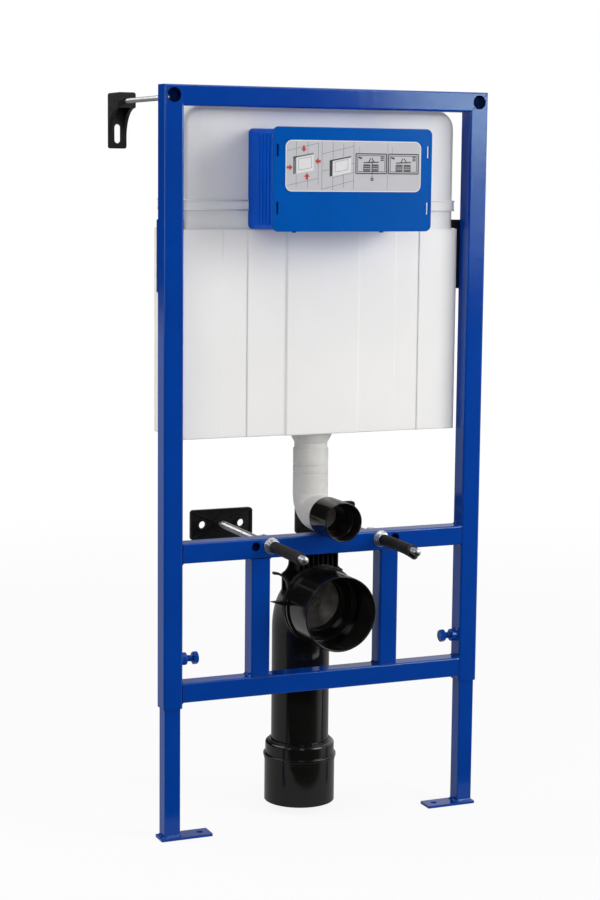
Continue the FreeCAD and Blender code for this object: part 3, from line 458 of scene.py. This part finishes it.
def sleeve_ring(low, high, slant, droop, along, radius):
    """Ring of a sleeve at a share of its length. The lower half hangs down near the end."""
    centre = (low + high) / 2
    late = max(0.0, (along - DROOP_FROM) / (1 - DROOP_FROM)) ** 2
    points = []
    for i in range(SLEEVE_SIDES):
        angle = math.tau * i / SLEEVE_SIDES
        aside = math.cos(angle)
        rise = math.sin(angle)
        front = low.y - slant * (0.5 - 0.5 * rise) + slant * SLANT_SET_BACK
        grain = noise.noise(Vector((along * SWELL_WAVES, aside, rise + centre.x)))
        reach = radius * (1 + SLEEVE_SWELL * grain)
        sag = droop * late * max(0.0, -rise)
        points.append(place(centre.x + aside * reach, high.y + (front - high.y) * along,
                            centre.z + rise * reach - sag))
    return points


for name, (slant, droop) in SLEEVES.items():
    low, high = local_box(f"{name}_sleeve")
    outer = (high.z - low.z) / 2
    inner = outer - SLEEVE_WALL
    steps = [i / SLEEVE_STEPS for i in range(SLEEVE_STEPS + 1)]
    rings = [(along, outer) for along in steps]
    rings += [(SLEEVE_RIM, (outer + inner) / 2)]
    rings += [(along, inner) for along in reversed(steps)]
    mesh = bmesh.new()
    bridge(mesh, [sleeve_ring(low, high, slant, droop, along, radius) for along, radius in rings], loop=True)
    piece = new_piece(f"{name}_sleeve_cut", mesh, "black_sleeve")
    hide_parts(f"{name}_sleeve")


# Weld beads in the corners between the tubes, round the weld nuts and at the feet
BEAD_POINTS = 5
BEAD_STEP = 0.6
BEAD_LEAST_STEPS = 8
BEAD_SIDES = 96
BEAD_RIPPLE = 2.2
BEAD_TAPER = 3.0
BEAD_END = 0.25
BEAD_RAGGED = 0.12
BEAD_GRAIN = 0.9
BEAD_HOLLOW = 0.3
BEAD_WAVE = 0.06
BEAD_SHIFT = 900
JOINT_LEG = 3.4
FOOT_LEG = 3.8
NUT_LEG = 2.2
BEAD_INSET = 1.5


def bead_section(corner, wall_a, wall_b, leg, key):
    """Hollow fillet between two walls that meet in a corner. Sizes in millimetres."""
    ragged = leg * (1 + BEAD_RAGGED * noise.noise(Vector((key * BEAD_GRAIN, leg, 0.0))))
    hollow = BEAD_HOLLOW + BEAD_WAVE * math.sin(math.tau * key / BEAD_RIPPLE)
    inner = (wall_a + wall_b) * hollow
    points = []
    for i in range(BEAD_POINTS):
        t = i / (BEAD_POINTS - 1)
        curve = wall_a * (1 - t) ** 2 + inner * 2 * t * (1 - t) + wall_b * t ** 2
        points.append(corner + curve * ragged * MM)
    return points


def straight_bead(mesh, start, end, wall_a, wall_b, leg):
    run = (end - start).length / MM
    count = max(BEAD_LEAST_STEPS, round(run / BEAD_STEP))
    shift = start.x * BEAD_SHIFT
    rings = []
    for i in range(count + 1):
        along = run * i / count
        ends = min(1.0, min(along, run - along) / BEAD_TAPER + BEAD_END)
        corner = start.lerp(end, i / count)
        rings.append(bead_section(corner, wall_a, wall_b, leg * ends, along + shift))
    bridge(mesh, rings, closed=False)


def round_bead(mesh, centre, axis, radius, leg):
    """Bead round a boss that stands on a wall. The axis points out of the wall."""
    rings = []
    for i, point in enumerate(ring_round(centre, axis, radius * MM, BEAD_SIDES)):
        outwards = (point - centre).normalized()
        rings.append(bead_section(point, outwards, axis, leg, i * math.tau * radius / BEAD_SIDES))
    bridge(mesh, rings, closed=False, loop=True)


beads = bmesh.new()
upright_low, upright_high = local_box("left_upright")
near = BEAD_INSET
far = upright_high.y - upright_low.y - BEAD_INSET
for bar in ("upper_crossbar", "lower_crossbar"):
    low, high = local_box(bar)
    for z, away in ((high.z, UP), (low.z, -UP)):
        for x, inwards in ((low.x, RIGHT), (high.x, -RIGHT)):
            straight_bead(beads, place(x, near, z), place(x, far, z), inwards, away, JOINT_LEG)
for side, name in SIDES:
    low, high = local_box(f"{name}_mullion")
    for z, away in ((high.z, -UP), (low.z, UP)):
        for x, outwards in ((low.x, -RIGHT), (high.x, RIGHT)):
            straight_bead(beads, place(x, near, z), place(x, far, z), outwards, away, JOINT_LEG)
    low, high = local_box(f"{name}_clamp_nut")
    wall_x = low.x if side < 0 else high.x
    centre = (low + high) / 2
    round_bead(beads, place(wall_x, centre.y, centre.z), RIGHT * -side, (high.z - low.z) / 2, NUT_LEG)
new_piece("weld_beads", beads, "blue_paint")

for side, name in SIDES:
    beads = bmesh.new()
    low, high = local_box(f"{name}_leg")
    corners = [(low.x, low.y), (high.x, low.y), (high.x, high.y), (low.x, high.y)]
    ends = corners[1:] + corners[:1]
    for start, end, outwards in zip(corners, ends, (-BACK, RIGHT, BACK, -RIGHT)):
        straight_bead(beads, place(*start, low.z), place(*end, low.z), outwards, UP, FOOT_LEG)
    new_piece(f"{name}_foot_weld", beads, "blue_paint", body=f"{name}_leg")


# Clamp screws with a thread and a chamfered head
BOLT_ACROSS = 17 * MM
BOLT_HEAD = 8 * MM
BOLT_RADIUS = 5 * MM
BOLT_PITCH = 1.5 * MM
for side, name in SIDES:
    node = f"{name}_clamp_bolt"
    low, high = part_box(node)
    axis = RIGHT * -side
    tip = Vector((low.x if side < 0 else high.x, (low.y + high.y) / 2, (low.z + high.z) / 2))
    shank = high.x - low.x - BOLT_HEAD
    mesh = bmesh.new()
    threaded_rod(mesh, tip, axis, shank, BOLT_RADIUS, BOLT_PITCH)
    hex_nut(mesh, tip + axis * shank, axis, BOLT_ACROSS, BOLT_HEAD)
    piece = new_piece(f"{node}_turned", mesh, "blue_paint", smooth=False)
    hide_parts(node)


# Low seams, ground flat, along the mitres of the upper corners, in a dark paint that is painted shade of the
# mitre's crease
SEAM_HALF = 0.55
SEAM_PROUD = 0.16
SEAM_STEP = 0.7
SEAM_LEAST_STEPS = 4
SEAM_RAGGED = 0.35
SEAM_GRAIN = 0.8
SEAM_PROFILE = ((-1.0, -0.1), (-0.5, 0.8), (0.0, 1.0), (0.5, 0.8), (1.0, -0.1))


def flat_seam(mesh, start, end, outwards):
    """Low ridge along a joint that was ground down. Places in millimetres."""
    run = end - start
    side = run.cross(outwards).normalized()
    count = max(SEAM_LEAST_STEPS, round(run.length / SEAM_STEP))
    rings = []
    for i in range(count + 1):
        at = start.lerp(end, i / count)
        half = SEAM_HALF * (1 + SEAM_RAGGED * noise.noise(at * SEAM_GRAIN))
        rings.append([place(*(at + side * across * half + outwards * up * SEAM_PROUD))
                      for across, up in SEAM_PROFILE])
    bridge(mesh, rings, closed=False)


WRENCH_HOLE = 10.5
ROD_CLEAR = 6.8
MITRE_START = 2.6
MITRE_END = 0.8
HOLE_MARGIN = 0.5
seams = bmesh.new()
low, high = local_box("top_rail")
diagonal = (high.z - low.z) * math.sqrt(2)
for side, name in SIDES:
    inwards = Vector((-side, 0, -1)).normalized()
    for y, outwards, hole in ((low.y, -BACK, WRENCH_HOLE), (high.y, BACK, ROD_CLEAR)):
        base = Vector((low.x if side < 0 else high.x, y, high.z))
        gap = hole + HOLE_MARGIN
        for start, end in ((MITRE_START, diagonal / 2 - gap), (diagonal / 2 + gap, diagonal - MITRE_END)):
            flat_seam(seams, base + inwards * start, base + inwards * end, outwards)
new_piece("mitre_shade_seams", seams, "blue_paint", material=crease_shade_paint)

# Lines where the bars meet the uprights and the mullions meet the bars, on both faces, in a dark paint that
# is painted shade of the joint's crease
LINE_INSET = 2.4
seams = bmesh.new()
for bar in ("upper_crossbar", "lower_crossbar"):
    low, high = local_box(bar)
    for x in (low.x, high.x):
        for y, outwards in ((low.y, -BACK), (high.y, BACK)):
            foot = Vector((x, y, low.z + LINE_INSET))
            head = Vector((x, y, high.z - LINE_INSET))
            flat_seam(seams, foot, head, outwards)
for side, name in SIDES:
    low, high = local_box(f"{name}_mullion")
    for z in (low.z, high.z):
        for y, outwards in ((low.y, -BACK), (high.y, BACK)):
            left = Vector((low.x + LINE_INSET, y, z))
            right = Vector((high.x - LINE_INSET, y, z))
            flat_seam(seams, left, right, outwards)
new_piece("joint_shade_lines", seams, "blue_paint", material=crease_shade_paint)


# Rings turned about an axis along Y: seals and lips of the two sockets and the disc inside the drain
TURN_SIDES = 96


def turn_profile(mesh, node, profile, loop=False):
    """Turn a profile of (radius, depth) in millimetres about the axis of a node."""
    centre = middle(node)
    rings = []
    for radius, y in profile:
        rings.append(ring_round(place(centre.x, y, centre.z), BACK, radius * MM, TURN_SIDES))
    bridge(mesh, rings, loop=loop)


# Distance from the bore and from the socket's floor
SEAL_PROFILE = ((0.1, 14.0), (1.2, 13.2), (2.0, 11.8), (1.4, 10.2), (0.9, 8.6), (1.1, 6.6), (2.6, 5.0),
                (3.4, 3.4), (3.2, 1.6), (2.4, 0.2), (0.1, 0.2))
LIP_STEPS = 8
LIP_PROUD = 0.6
LIP_ROOT = 1


def lip_seal(node, bore, floor_y):
    """Rubber ring with two lips that lies against a socket's floor."""
    mesh = bmesh.new()
    turn_profile(mesh, node, [(bore - inset, floor_y - rise) for inset, rise in SEAL_PROFILE], loop=True)
    return mesh


def mouth_lip(mesh, node, outer, bore, front):
    """Rounded end of a socket's wall."""
    wall = (outer - bore) / 2
    centre = (outer + bore) / 2
    profile = []
    for i in range(LIP_STEPS + 1):
        angle = math.pi * i / LIP_STEPS
        profile.append((centre + wall * math.cos(angle), front - LIP_PROUD * wall * math.sin(angle)))
    profile += [(bore, front + LIP_ROOT), (outer, front + LIP_ROOT)]
    turn_profile(mesh, node, profile, loop=True)


DRAIN_OUTER = 57.5
DRAIN_BORE = 54.8
DRAIN_DEEP = 78
FLUSH_OUTER = 29.5
FLUSH_BORE = 27.5
FLUSH_DEEP = 38
drain_front = local_box("drain_bend")[0].y
flush_front = local_box("flush_socket")[0].y
seal = lip_seal("drain_plug", DRAIN_BORE, drain_front + DRAIN_DEEP)
new_piece("drain_seal", seal, "black_pipe", material=seal_rubber)
seal = lip_seal("flush_socket", FLUSH_BORE, flush_front + FLUSH_DEEP)
new_piece("flush_seal", seal, "black_pipe", material=seal_rubber)

# Rounded mouths of the sockets and rounded edges of the strap clip
CLIP_EDGE = 0.45
CLIP_SIDES = 8
mesh = bmesh.new()
mouth_lip(mesh, "drain_plug", DRAIN_OUTER, DRAIN_BORE, drain_front)
mouth_lip(mesh, "flush_socket", FLUSH_OUTER, FLUSH_BORE, flush_front)
clip_low, clip_high = local_box("drain_clip")
clip_radius = (clip_high.z - clip_low.z) / 2
for y in (clip_low.y + CLIP_EDGE, clip_high.y - CLIP_EDGE):
    edge = []
    for i in range(CLIP_SIDES):
        angle = math.tau * i / CLIP_SIDES
        edge.append((clip_radius + CLIP_EDGE * math.cos(angle), y + CLIP_EDGE * math.sin(angle)))
    turn_profile(mesh, "drain_plug", edge, loop=True)
new_piece("socket_lips", mesh, "black_pipe")

# Disc in the drain: radius and depth behind its front, from the hollow boss to the collar on its face
PLUG_CORE = ((0.01, 0), (3.0, 0), (3.6, 2.4), (5.0, 2.4), (5.4, 0), (6.2, 0), (7.0, 0.8), (7.0, 5),
             (10.0, 5), (10.4, 3.6), (11.6, 3.6), (12.0, 5))
PLUG_FACE = 5
GROOVE_FIRST = 12.6
GROOVE_MARGIN = 2.0
GROOVE_PITCH = 1.2
GROOVE_HALF = 0.6
GROOVE_PROUD = 0.32
PLUG_BEVEL = 0.6
low, high = local_box("drain_plug")
face = low.y + PLUG_FACE
rim = (high.z - low.z) / 2
profile = [(radius, low.y + deep) for radius, deep in PLUG_CORE]
for groove in range(round((rim - PLUG_CORE[-1][0] - GROOVE_MARGIN) / GROOVE_PITCH)):
    ridge = GROOVE_FIRST + groove * GROOVE_PITCH
    profile += [(ridge, face), (ridge + GROOVE_HALF, face - GROOVE_PROUD)]
profile += [(rim - PLUG_BEVEL, face), (rim, face + PLUG_BEVEL), (rim, high.y), (PLUG_CORE[0][0], high.y)]
mesh = bmesh.new()
turn_profile(mesh, "drain_plug", profile)
# Its lighter, mottled grey is partly painted light
piece = new_piece("drain_plug_turned", mesh, "black_pipe", material=plug_plastic, smooth=False)
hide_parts("drain_plug")


# Moulded beads along both edges of the tank's seam rim, which end at the shaft
RIM_FOOT = 933.0
RIM_TALL = 16.0
RIM_ROUND = 8.0
RIM_BEAD = 1.1
RIM_STEPS = 8
RIM_SIDES = 12
RIM_GAP = 1


def rim_path():
    """Points along the rim from one side of the shaft to the other, with the direction outwards."""
    low, high = local_box("cistern_tank")
    shaft = local_box("access_shaft")[1].x + RIM_GAP
    path = [(Vector((shaft, low.y, 0)), -BACK)]
    corners = ((high.x, low.y, 1, 1), (high.x, high.y, 1, -1), (low.x, high.y, -1, -1), (low.x, low.y, -1, 1))
    for quarter, (x, y, right, into) in enumerate(corners):
        centre = Vector((x - right * RIM_ROUND, y + into * RIM_ROUND, 0))
        for step in range(RIM_STEPS + 1):
            angle = math.pi / 2 * (quarter - 1 + step / RIM_STEPS)
            outwards = RIGHT * math.cos(angle) + BACK * math.sin(angle)
            path.append((centre + outwards * RIM_ROUND, outwards))
    return path + [(Vector((-shaft, low.y, 0)), -BACK)]


mesh = bmesh.new()
for z in (RIM_FOOT + RIM_BEAD, RIM_FOOT + RIM_TALL - RIM_BEAD):
    rings = []
    for point, outwards in rim_path():
        ring = []
        for i in range(RIM_SIDES):
            angle = math.tau * i / RIM_SIDES
            reach = (outwards * math.cos(angle) + UP * math.sin(angle)) * RIM_BEAD
            ring.append(place(*(point + reach + UP * z)))
        rings.append(ring)
    bridge(mesh, rings, caps=True)
new_piece("tank_rim_beads", mesh, "white_tank")


# Dark blocks behind the two left slots of the cover: painted shade seen through the slots
SLOT_SHADE_LEFT = -122.4
SLOT_SHADE_RIGHT = -116.2
SLOT_SHADE_HALF = 10.5
SLOT_SHADE_DEEP = 4.5
SLOT_SHADE_TAPER = 1.3
SLOT_SHADE_GAP = 0.1
SLOT_RISE = 40.75
COVER_MIDDLE = 979.5
cover_back = local_box("access_cover")[1].y
mesh = bmesh.new()
for z in (COVER_MIDDLE - SLOT_RISE, COVER_MIDDLE + SLOT_RISE):
    rings = []
    for y, taper in ((SLOT_SHADE_GAP, 0.0), (SLOT_SHADE_DEEP - SLOT_SHADE_TAPER, 0.0), (SLOT_SHADE_DEEP, SLOT_SHADE_TAPER)):
        left = SLOT_SHADE_LEFT + taper
        foot = z - SLOT_SHADE_HALF + taper
        head = z + SLOT_SHADE_HALF - taper
        corners = ((left, foot), (SLOT_SHADE_RIGHT, foot), (SLOT_SHADE_RIGHT, head), (left, head))
        rings.append([place(x, cover_back + y, corner_z) for x, corner_z in corners])
    bridge(mesh, rings, caps=True)
new_piece("cover_slot_shade", mesh, "blue_plastic", material=slot_shade_plastic, smooth=False)


# Label print: thin raised ink in the label's own plane, u to the right and v up from its middle
INK_BASE = 0.08
LINE_LIFT = 0.1
PANEL_LIFT = 0.12
BOX_LIFT = 0.14
DETAIL_LIFT = 0.16
SCREEN_LIFT = 0.18
TOOL_LIFT = 0.2
ARROW_LIFT = 0.22
label_low, label_high = local_box("cover_label")
label_middle = (label_low + label_high) / 2


def ink(mesh, corners, lift):
    """Flat patch of ink with the given corners."""
    def layer(y):
        return [mesh.verts.new(place(label_middle.x + u, y, label_middle.z + v)) for u, v in corners]
    under = layer(label_low.y + INK_BASE)
    upper = layer(label_low.y - lift)
    mesh.faces.new(upper)
    mesh.faces.new(under)
    for i in range(len(corners)):
        j = (i + 1) % len(corners)
        mesh.faces.new((upper[i], upper[j], under[j], under[i]))


def stroke(mesh, start, end, width, lift):
    start = Vector(start)
    end = Vector(end)
    aside = (end - start).normalized().orthogonal() * width / 2
    ink(mesh, [start + aside, end + aside, end - aside, start - aside], lift)


def arrow(mesh, tip, towards, size, lift):
    """Block arrow that ends at tip."""
    towards = Vector(towards)
    aside = towards.orthogonal()
    outline = [(0, 0), (-0.55, 0.5), (-0.55, 0.2), (-1, 0.2), (-1, -0.2), (-0.55, -0.2), (-0.55, -0.5)]
    ink(mesh, [Vector(tip) + (towards * along + aside * over) * size for along, over in outline], lift)


def closed_stroke(mesh, corners, width, lift):
    for start, end in zip(corners, corners[1:] + corners[:1]):
        stroke(mesh, start, end, width, lift)


def box_outline(mesh, left, right, foot, head, width, lift):
    stroke(mesh, (left, foot), (right, foot), width, lift)
    stroke(mesh, (left, head), (right, head), width, lift)
    stroke(mesh, (left, foot), (left, head), width, lift)
    stroke(mesh, (right, foot), (right, head), width, lift)


lines = bmesh.new()
bars = bmesh.new()
panels = bmesh.new()
arrows = bmesh.new()

# Left half of the label: two tiled walls with the opening for the cover, and arrows round the first one
TILE_LINE = 0.55
SCREEN_LINE = 0.5
ARROW_SIZE = 9.0
TILE_UPRIGHTS = ((-90.6, 13.5, 34), (-90.6, -30, -12), (-72.7, 17, 34), (-72.7, -31, -10), (-56.4, -26, 33),
                 (-50.6, -34, 34), (-33.4, 10, 34), (-33.4, -34, -15), (-16.8, 13, 32), (-16.8, -31, -11),
                 (-0.6, -33, 35))
TILE_LEVELS = (((-105, 20.9), (-56.4, 32.3)), ((-105, -28), (-56.4, -17.6)), ((-105, -4), (-96, -2)),
               ((-62, 6.4), (-56.4, 7.7)), ((-50.6, 17), (-0.6, 28.6)), ((-50.6, -33), (-0.6, -20.2)),
               ((-50.6, -7.4), (-39.5, -4.8)), ((-4.4, 3.4), (-0.6, 4.3)), ((-33, -16.3), (-0.6, -8.6)))
for u, foot, head in TILE_UPRIGHTS:
    stroke(lines, (u, foot), (u, head), TILE_LINE, LINE_LIFT)
for start, end in TILE_LEVELS:
    stroke(lines, start, end, TILE_LINE, LINE_LIFT)
# Front, left edge, upper edge and inner outline of each plate, with the ink of its edges
PLATES = (
    (lines, [(-95.4, 12.7), (-63.6, 18.4), (-63.6, -6.4), (-95.4, -12)],
     [(-95.4, 12.7), (-90.6, 13.6), (-90.6, -11), (-95.4, -12)],
     [(-95.4, 12.7), (-63.6, 18.4), (-63.6, 16.4), (-95.4, 10.4)],
     [(-87, 9.4), (-67, 13), (-67, -2.6), (-87, -6.2)]),
    (bars, [(-38.6, 8.3), (-4.9, 14.6), (-4.9, -8.6), (-38.6, -15)],
     [(-38.6, 8.3), (-34.0, 9.2), (-34.0, -14), (-38.6, -15)],
     [(-38.6, 8.3), (-4.9, 14.6), (-4.9, 12.8), (-38.6, 6.3)],
     [(-30, 6), (-10, 9.8), (-10, -4.8), (-30, -8.6)]),
)
for edges, front, left_edge, upper_edge, screen in PLATES:
    ink(panels, front, PANEL_LIFT)
    ink(edges, left_edge, DETAIL_LIFT)
    ink(edges, upper_edge, DETAIL_LIFT)
    closed_stroke(lines, screen, SCREEN_LINE, SCREEN_LIFT)
ARROWS = (((-79, 19.4), (0, -1)), ((-61.6, 6.6), (-1, 0)), ((-96.2, -2.4), (1, 0)), ((-74, -10.4), (0, 1)))
for tip, towards in ARROWS:
    arrow(arrows, tip, towards, ARROW_SIZE, ARROW_LIFT)

# Right half: two framed boxes with the tank's inside seen from the front, and a tool on a dashed line
BOXES = ((2.8, 51.4), (54.8, 102.6))
BOX_FOOT = -10.0
BOX_HEAD = 18.0
BOX_LINE = 1.5
BOX_INSET = 2.6
BOX_INNER_LINE = 0.8
VALVES = (-7.0, 6.0)
VALVE_HALF = 5
VALVE_FOOT = -6.4
VALVE_HEAD = 2.6
VALVE_LINE = 1.0
VALVE_BARS = (-4.6, -1.6, 1.0)
VALVE_BAR_HALF = 4.2
VALVE_BAR_LINE = 1.7
# Strokes from the middle of a box, from its right side and from its left side, with their widths
LEVER = (((-12, 5.4), (12, 6.4), 1.5), ((-4, 6), (-1, 12), 1.3), ((1, 12), (5, 6), 1.3))
NOTES = tuple(((-9.5, up), (-4.4, up), 1.5) for up in (9.0, 11.4, 13.8))
PIN = (((4, 13), (9.5, 11.5), 2.4),)
CORD_ASIDE = 5.5
CORD_HEAD = 28
THIN_LINE = 0.4
for left, right in BOXES:
    centre = (left + right) / 2
    box_outline(bars, left, right, BOX_FOOT, BOX_HEAD, BOX_LINE, BOX_LIFT)
    box_outline(bars, left + BOX_INSET, right - BOX_INSET, BOX_FOOT + BOX_INSET, BOX_HEAD - BOX_INSET,
                BOX_INNER_LINE, BOX_LIFT)
    for aside in VALVES:
        valve = centre + aside
        for up in VALVE_BARS:
            start = (valve - VALVE_BAR_HALF, up)
            end = (valve + VALVE_BAR_HALF, up)
            stroke(bars, start, end, VALVE_BAR_LINE, DETAIL_LIFT)
        box_outline(bars, valve - VALVE_HALF, valve + VALVE_HALF, VALVE_FOOT, VALVE_HEAD,
                    VALVE_LINE, DETAIL_LIFT)
    for u, strokes in ((centre, LEVER), (right, NOTES), (left, PIN)):
        for start, end, width in strokes:
            stroke(bars, (u + start[0], start[1]), (u + end[0], end[1]), width, DETAIL_LIFT)
    stroke(lines, (left + CORD_ASIDE, BOX_HEAD), (left + CORD_ASIDE, CORD_HEAD), THIN_LINE, LINE_LIFT)
DASHES = 9
DASH_U = 28.6
DASH_TOP = 8.0
DASH_PITCH = 3.0
DASH_LONG = 2.0
DASH_LINE = 1.0
TOOL_HALF = 1.7
TOOL_FOOT = -20.0
TOOL_HEAD = -16.6
TOOL_LINE = 1.1
DIVIDER_U = 53.1
DIVIDER_HALF = 33
for i in range(DASHES):
    head = DASH_TOP - i * DASH_PITCH
    stroke(bars, (DASH_U, head), (DASH_U, head - DASH_LONG), DASH_LINE, TOOL_LIFT)
box_outline(bars, DASH_U - TOOL_HALF, DASH_U + TOOL_HALF, TOOL_FOOT, TOOL_HEAD, TOOL_LINE, TOOL_LIFT)
stroke(lines, (DIVIDER_U, -DIVIDER_HALF), (DIVIDER_U, DIVIDER_HALF), THIN_LINE, LINE_LIFT)

# White border round the label
LABEL_ROUND = 10.0
BORDER = 0.9
BORDER_INSET = 0.2
CORNER_STEPS = 8


def round_outline(inset):
    """Outline of the label with round corners, moved inwards."""
    half_wide = (label_high.x - label_low.x) / 2 - inset
    half_tall = (label_high.z - label_low.z) / 2 - inset
    radius = LABEL_ROUND - inset
    points = []
    for quarter, (right, up) in enumerate(((1, 1), (-1, 1), (-1, -1), (1, -1))):
        for step in range(CORNER_STEPS + 1):
            angle = math.pi / 2 * (quarter + step / CORNER_STEPS)
            points.append((right * (half_wide - radius) + math.cos(angle) * radius,
                           up * (half_tall - radius) + math.sin(angle) * radius))
    return points


border = bmesh.new()
outside = round_outline(BORDER_INSET)
inside = round_outline(BORDER_INSET + BORDER)
under = label_low.y + INK_BASE
upper = label_low.y - LINE_LIFT
rings = []
for ring, y in ((outside, under), (outside, upper), (inside, upper), (inside, under)):
    rings.append([place(label_middle.x + u, y, label_middle.z + v) for u, v in ring])
bridge(border, rings, loop=True)
new_piece("label_border", border, "label_print", material=white_ink, smooth=False)

LABEL_INKS = (("label_lines", lines, grey_ink), ("label_bars", bars, dark_ink),
              ("label_panels", panels, pale_ink), ("label_arrows", arrows, red_ink))
for name, mesh, colour in LABEL_INKS:
    new_piece(name, mesh, "label_print", material=colour, smooth=False)


# Camera of the photograph, fitted to its edges
CAMERA_AT = (-1246.45, -2771.78, 987.81)
CAMERA_YAW = 0.4089
CAMERA_PITCH = -0.1344
CAMERA_ROLL = 0.0101
FOCAL_PIXELS = 2044.97
PHOTO_TALL = 900
SENSOR = 36.0

lens = bpy.data.cameras.new("camera")
lens.sensor_width = SENSOR
lens.lens = FOCAL_PIXELS * SENSOR / PHOTO_TALL
lens.clip_start = 0.05
lens.clip_end = 60.0
camera = add_object("camera", lens)
scene.camera = camera
level_sight = Vector((math.sin(CAMERA_YAW), math.cos(CAMERA_YAW), 0))
sight = level_sight * math.cos(CAMERA_PITCH) + UP * math.sin(CAMERA_PITCH)
level = Vector((math.cos(CAMERA_YAW), -math.sin(CAMERA_YAW), 0))
upwards = level.cross(sight)
picture_right = level * math.cos(CAMERA_ROLL) + upwards * math.sin(CAMERA_ROLL)
picture_up = upwards * math.cos(CAMERA_ROLL) - level * math.sin(CAMERA_ROLL)
facing = Matrix((picture_right, picture_up, -sight)).transposed().to_4x4()
camera.matrix_world = Matrix.Translation(place(*CAMERA_AT)) @ facing


# Pale floor, white surroundings and soft lamps

def calculate(tree, operation, first, second):
    """Work out a number from a socket and a second socket or number."""
    node = tree.nodes.new("ShaderNodeMath")
    node.operation = operation
    tree.links.new(first, node.inputs[0])
    if isinstance(second, float):
        node.inputs[1].default_value = second
    else:
        tree.links.new(second, node.inputs[1])
    return node.outputs[0]


def rays(tree):
    """1 for rays of the camera, and 1 for those and the rays of gloss and glass."""
    path = tree.nodes.new("ShaderNodeLightPath")
    camera_ray = path.outputs["Is Camera Ray"]
    seen = camera_ray
    for kind in ("Is Glossy Ray", "Is Transmission Ray"):
        seen = calculate(tree, "MAXIMUM", seen, path.outputs[kind])
    return camera_ray, seen


def show_mix(tree, factor, first, second, output):
    """Show the first shader, and the second one where the factor is 1."""
    mix = tree.nodes.new("ShaderNodeMixShader")
    tree.links.new(factor, mix.inputs["Fac"])
    tree.links.new(first, mix.inputs[1])
    tree.links.new(second, mix.inputs[2])
    tree.links.new(mix.outputs["Shader"], tree.nodes[output].inputs["Surface"])


# The floor is plain white further away. Its front part is not reflected, like the dim room there.
FLOOR_SIDE = 9.0
FLOOR_SPLIT = -0.1
FLOORS = (("floor_front", -6.0, FLOOR_SPLIT, False), ("floor", FLOOR_SPLIT, 11.0, True))
SHADOW_REACH = 4.0
WHITE_STOPS = [(0.3, grey(0.86)), (1.0, grey(1.0))]
FLOOR_GLOSS = 0.42
FLOOR_SEEN = 0.62
floor_paint = new_shader("floor_paint", grey(0.6), 0.7)
for name, near, far, reflected in FLOORS:
    mesh = bmesh.new()
    corners = [(-FLOOR_SIDE, near), (FLOOR_SIDE, near), (FLOOR_SIDE, far), (-FLOOR_SIDE, far)]
    mesh.faces.new([mesh.verts.new((x, y, 0)) for x, y in corners])
    data = mesh_data(name, mesh)
    data.materials.append(floor_paint)
    ground = add_object(name, data)
    ground.location = ORIGIN
    ground.visible_glossy = reflected
    ground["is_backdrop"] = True
tree = floor_paint.node_tree
camera_ray, seen_ray = rays(tree)
away = tree.nodes.new("ShaderNodeVectorMath")
away.operation = "LENGTH"
tree.links.new(object_space(tree), away.inputs[0])
share = calculate(tree, "DIVIDE", away.outputs["Value"], SHADOW_REACH)
white_share = ramp(tree, share, WHITE_STOPS)
glow = tree.nodes.new("ShaderNodeEmission")
seen_glow = calculate(tree, "MULTIPLY", camera_ray, FLOOR_SEEN)
tree.links.new(calculate(tree, "ADD", seen_glow, FLOOR_GLOSS), glow.inputs["Strength"])
show_mix(tree, calculate(tree, "MULTIPLY", seen_ray, white_share), shader_of(floor_paint).outputs["BSDF"],
         glow.outputs["Emission"], "Material Output")

# The camera sees white all round. Gloss sees a white backdrop to the right of the object and above it,
# and a dim room elsewhere.
BACKDROP_TOWARDS = (0.9, 0.1, 0.42)
BACKDROP_STOPS = [(0.1, grey(0.012)), (0.4, grey(0.08)), (0.7, grey(1.0))]
DOME_STRENGTH = 0.29
world = bpy.data.worlds.new("studio")
scene.world = world
world.use_nodes = True
tree = world.node_tree
dome = tree.nodes["Background"]
dome.inputs["Color"].default_value = grey(1.0)
dome.inputs["Strength"].default_value = DOME_STRENGTH
white = tree.nodes.new("ShaderNodeBackground")
white.inputs["Strength"].default_value = 1.0
camera_ray, seen_ray = rays(tree)
where = tree.nodes.new("ShaderNodeTexCoord")
turned_to = tree.nodes.new("ShaderNodeVectorMath")
turned_to.operation = "DOT_PRODUCT"
turned_to.inputs[1].default_value = BACKDROP_TOWARDS
tree.links.new(where.outputs["Generated"], turned_to.inputs[0])
backdrop = ramp(tree, turned_to.outputs["Value"], BACKDROP_STOPS)
tree.links.new(calculate(tree, "MAXIMUM", backdrop, camera_ray), white.inputs["Color"])
show_mix(tree, seen_ray, dome.outputs["Background"], white.outputs["Background"], "World Output")

# Place, point that it is turned to, width and height in metres, and watts
LAMPS = {
    "softbox": ((2344, -2500, 1900), (0, 0, 800), 2.0, 1.8, 76.0),
    "softbox_foot": ((2344, -2500, 860), (0, 0, 800), 2.0, 0.25, 3.0),
    "front": ((-700, -2600, 1500), (0, 0, 500), 0.7, 0.7, 9.0),
    "side": ((-1700, -450, 1150), (-260, 0, 1000), 1.2, 1.0, 7.0),
    "rim": ((-1500, 1000, 2000), (-260, 0, 900), 1.5, 1.5, 24.0),
    "top": ((300, -700, 2900), (0, 0, 600), 2.4, 1.6, 18.0),
}
for name, (at, aim, wide, tall, watts) in LAMPS.items():
    lamp = bpy.data.lights.new(name, "AREA")
    lamp.shape = "RECTANGLE"
    lamp.size = wide
    lamp.size_y = tall
    lamp.energy = watts
    stand = add_object(name, lamp)
    stand.location = place(*at)
    stand.rotation_mode = "QUATERNION"
    stand.rotation_quaternion = (place(*aim) - stand.location).to_track_quat("-Z", "Y")

scene.view_settings.view_transform = "Standard"

low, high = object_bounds()
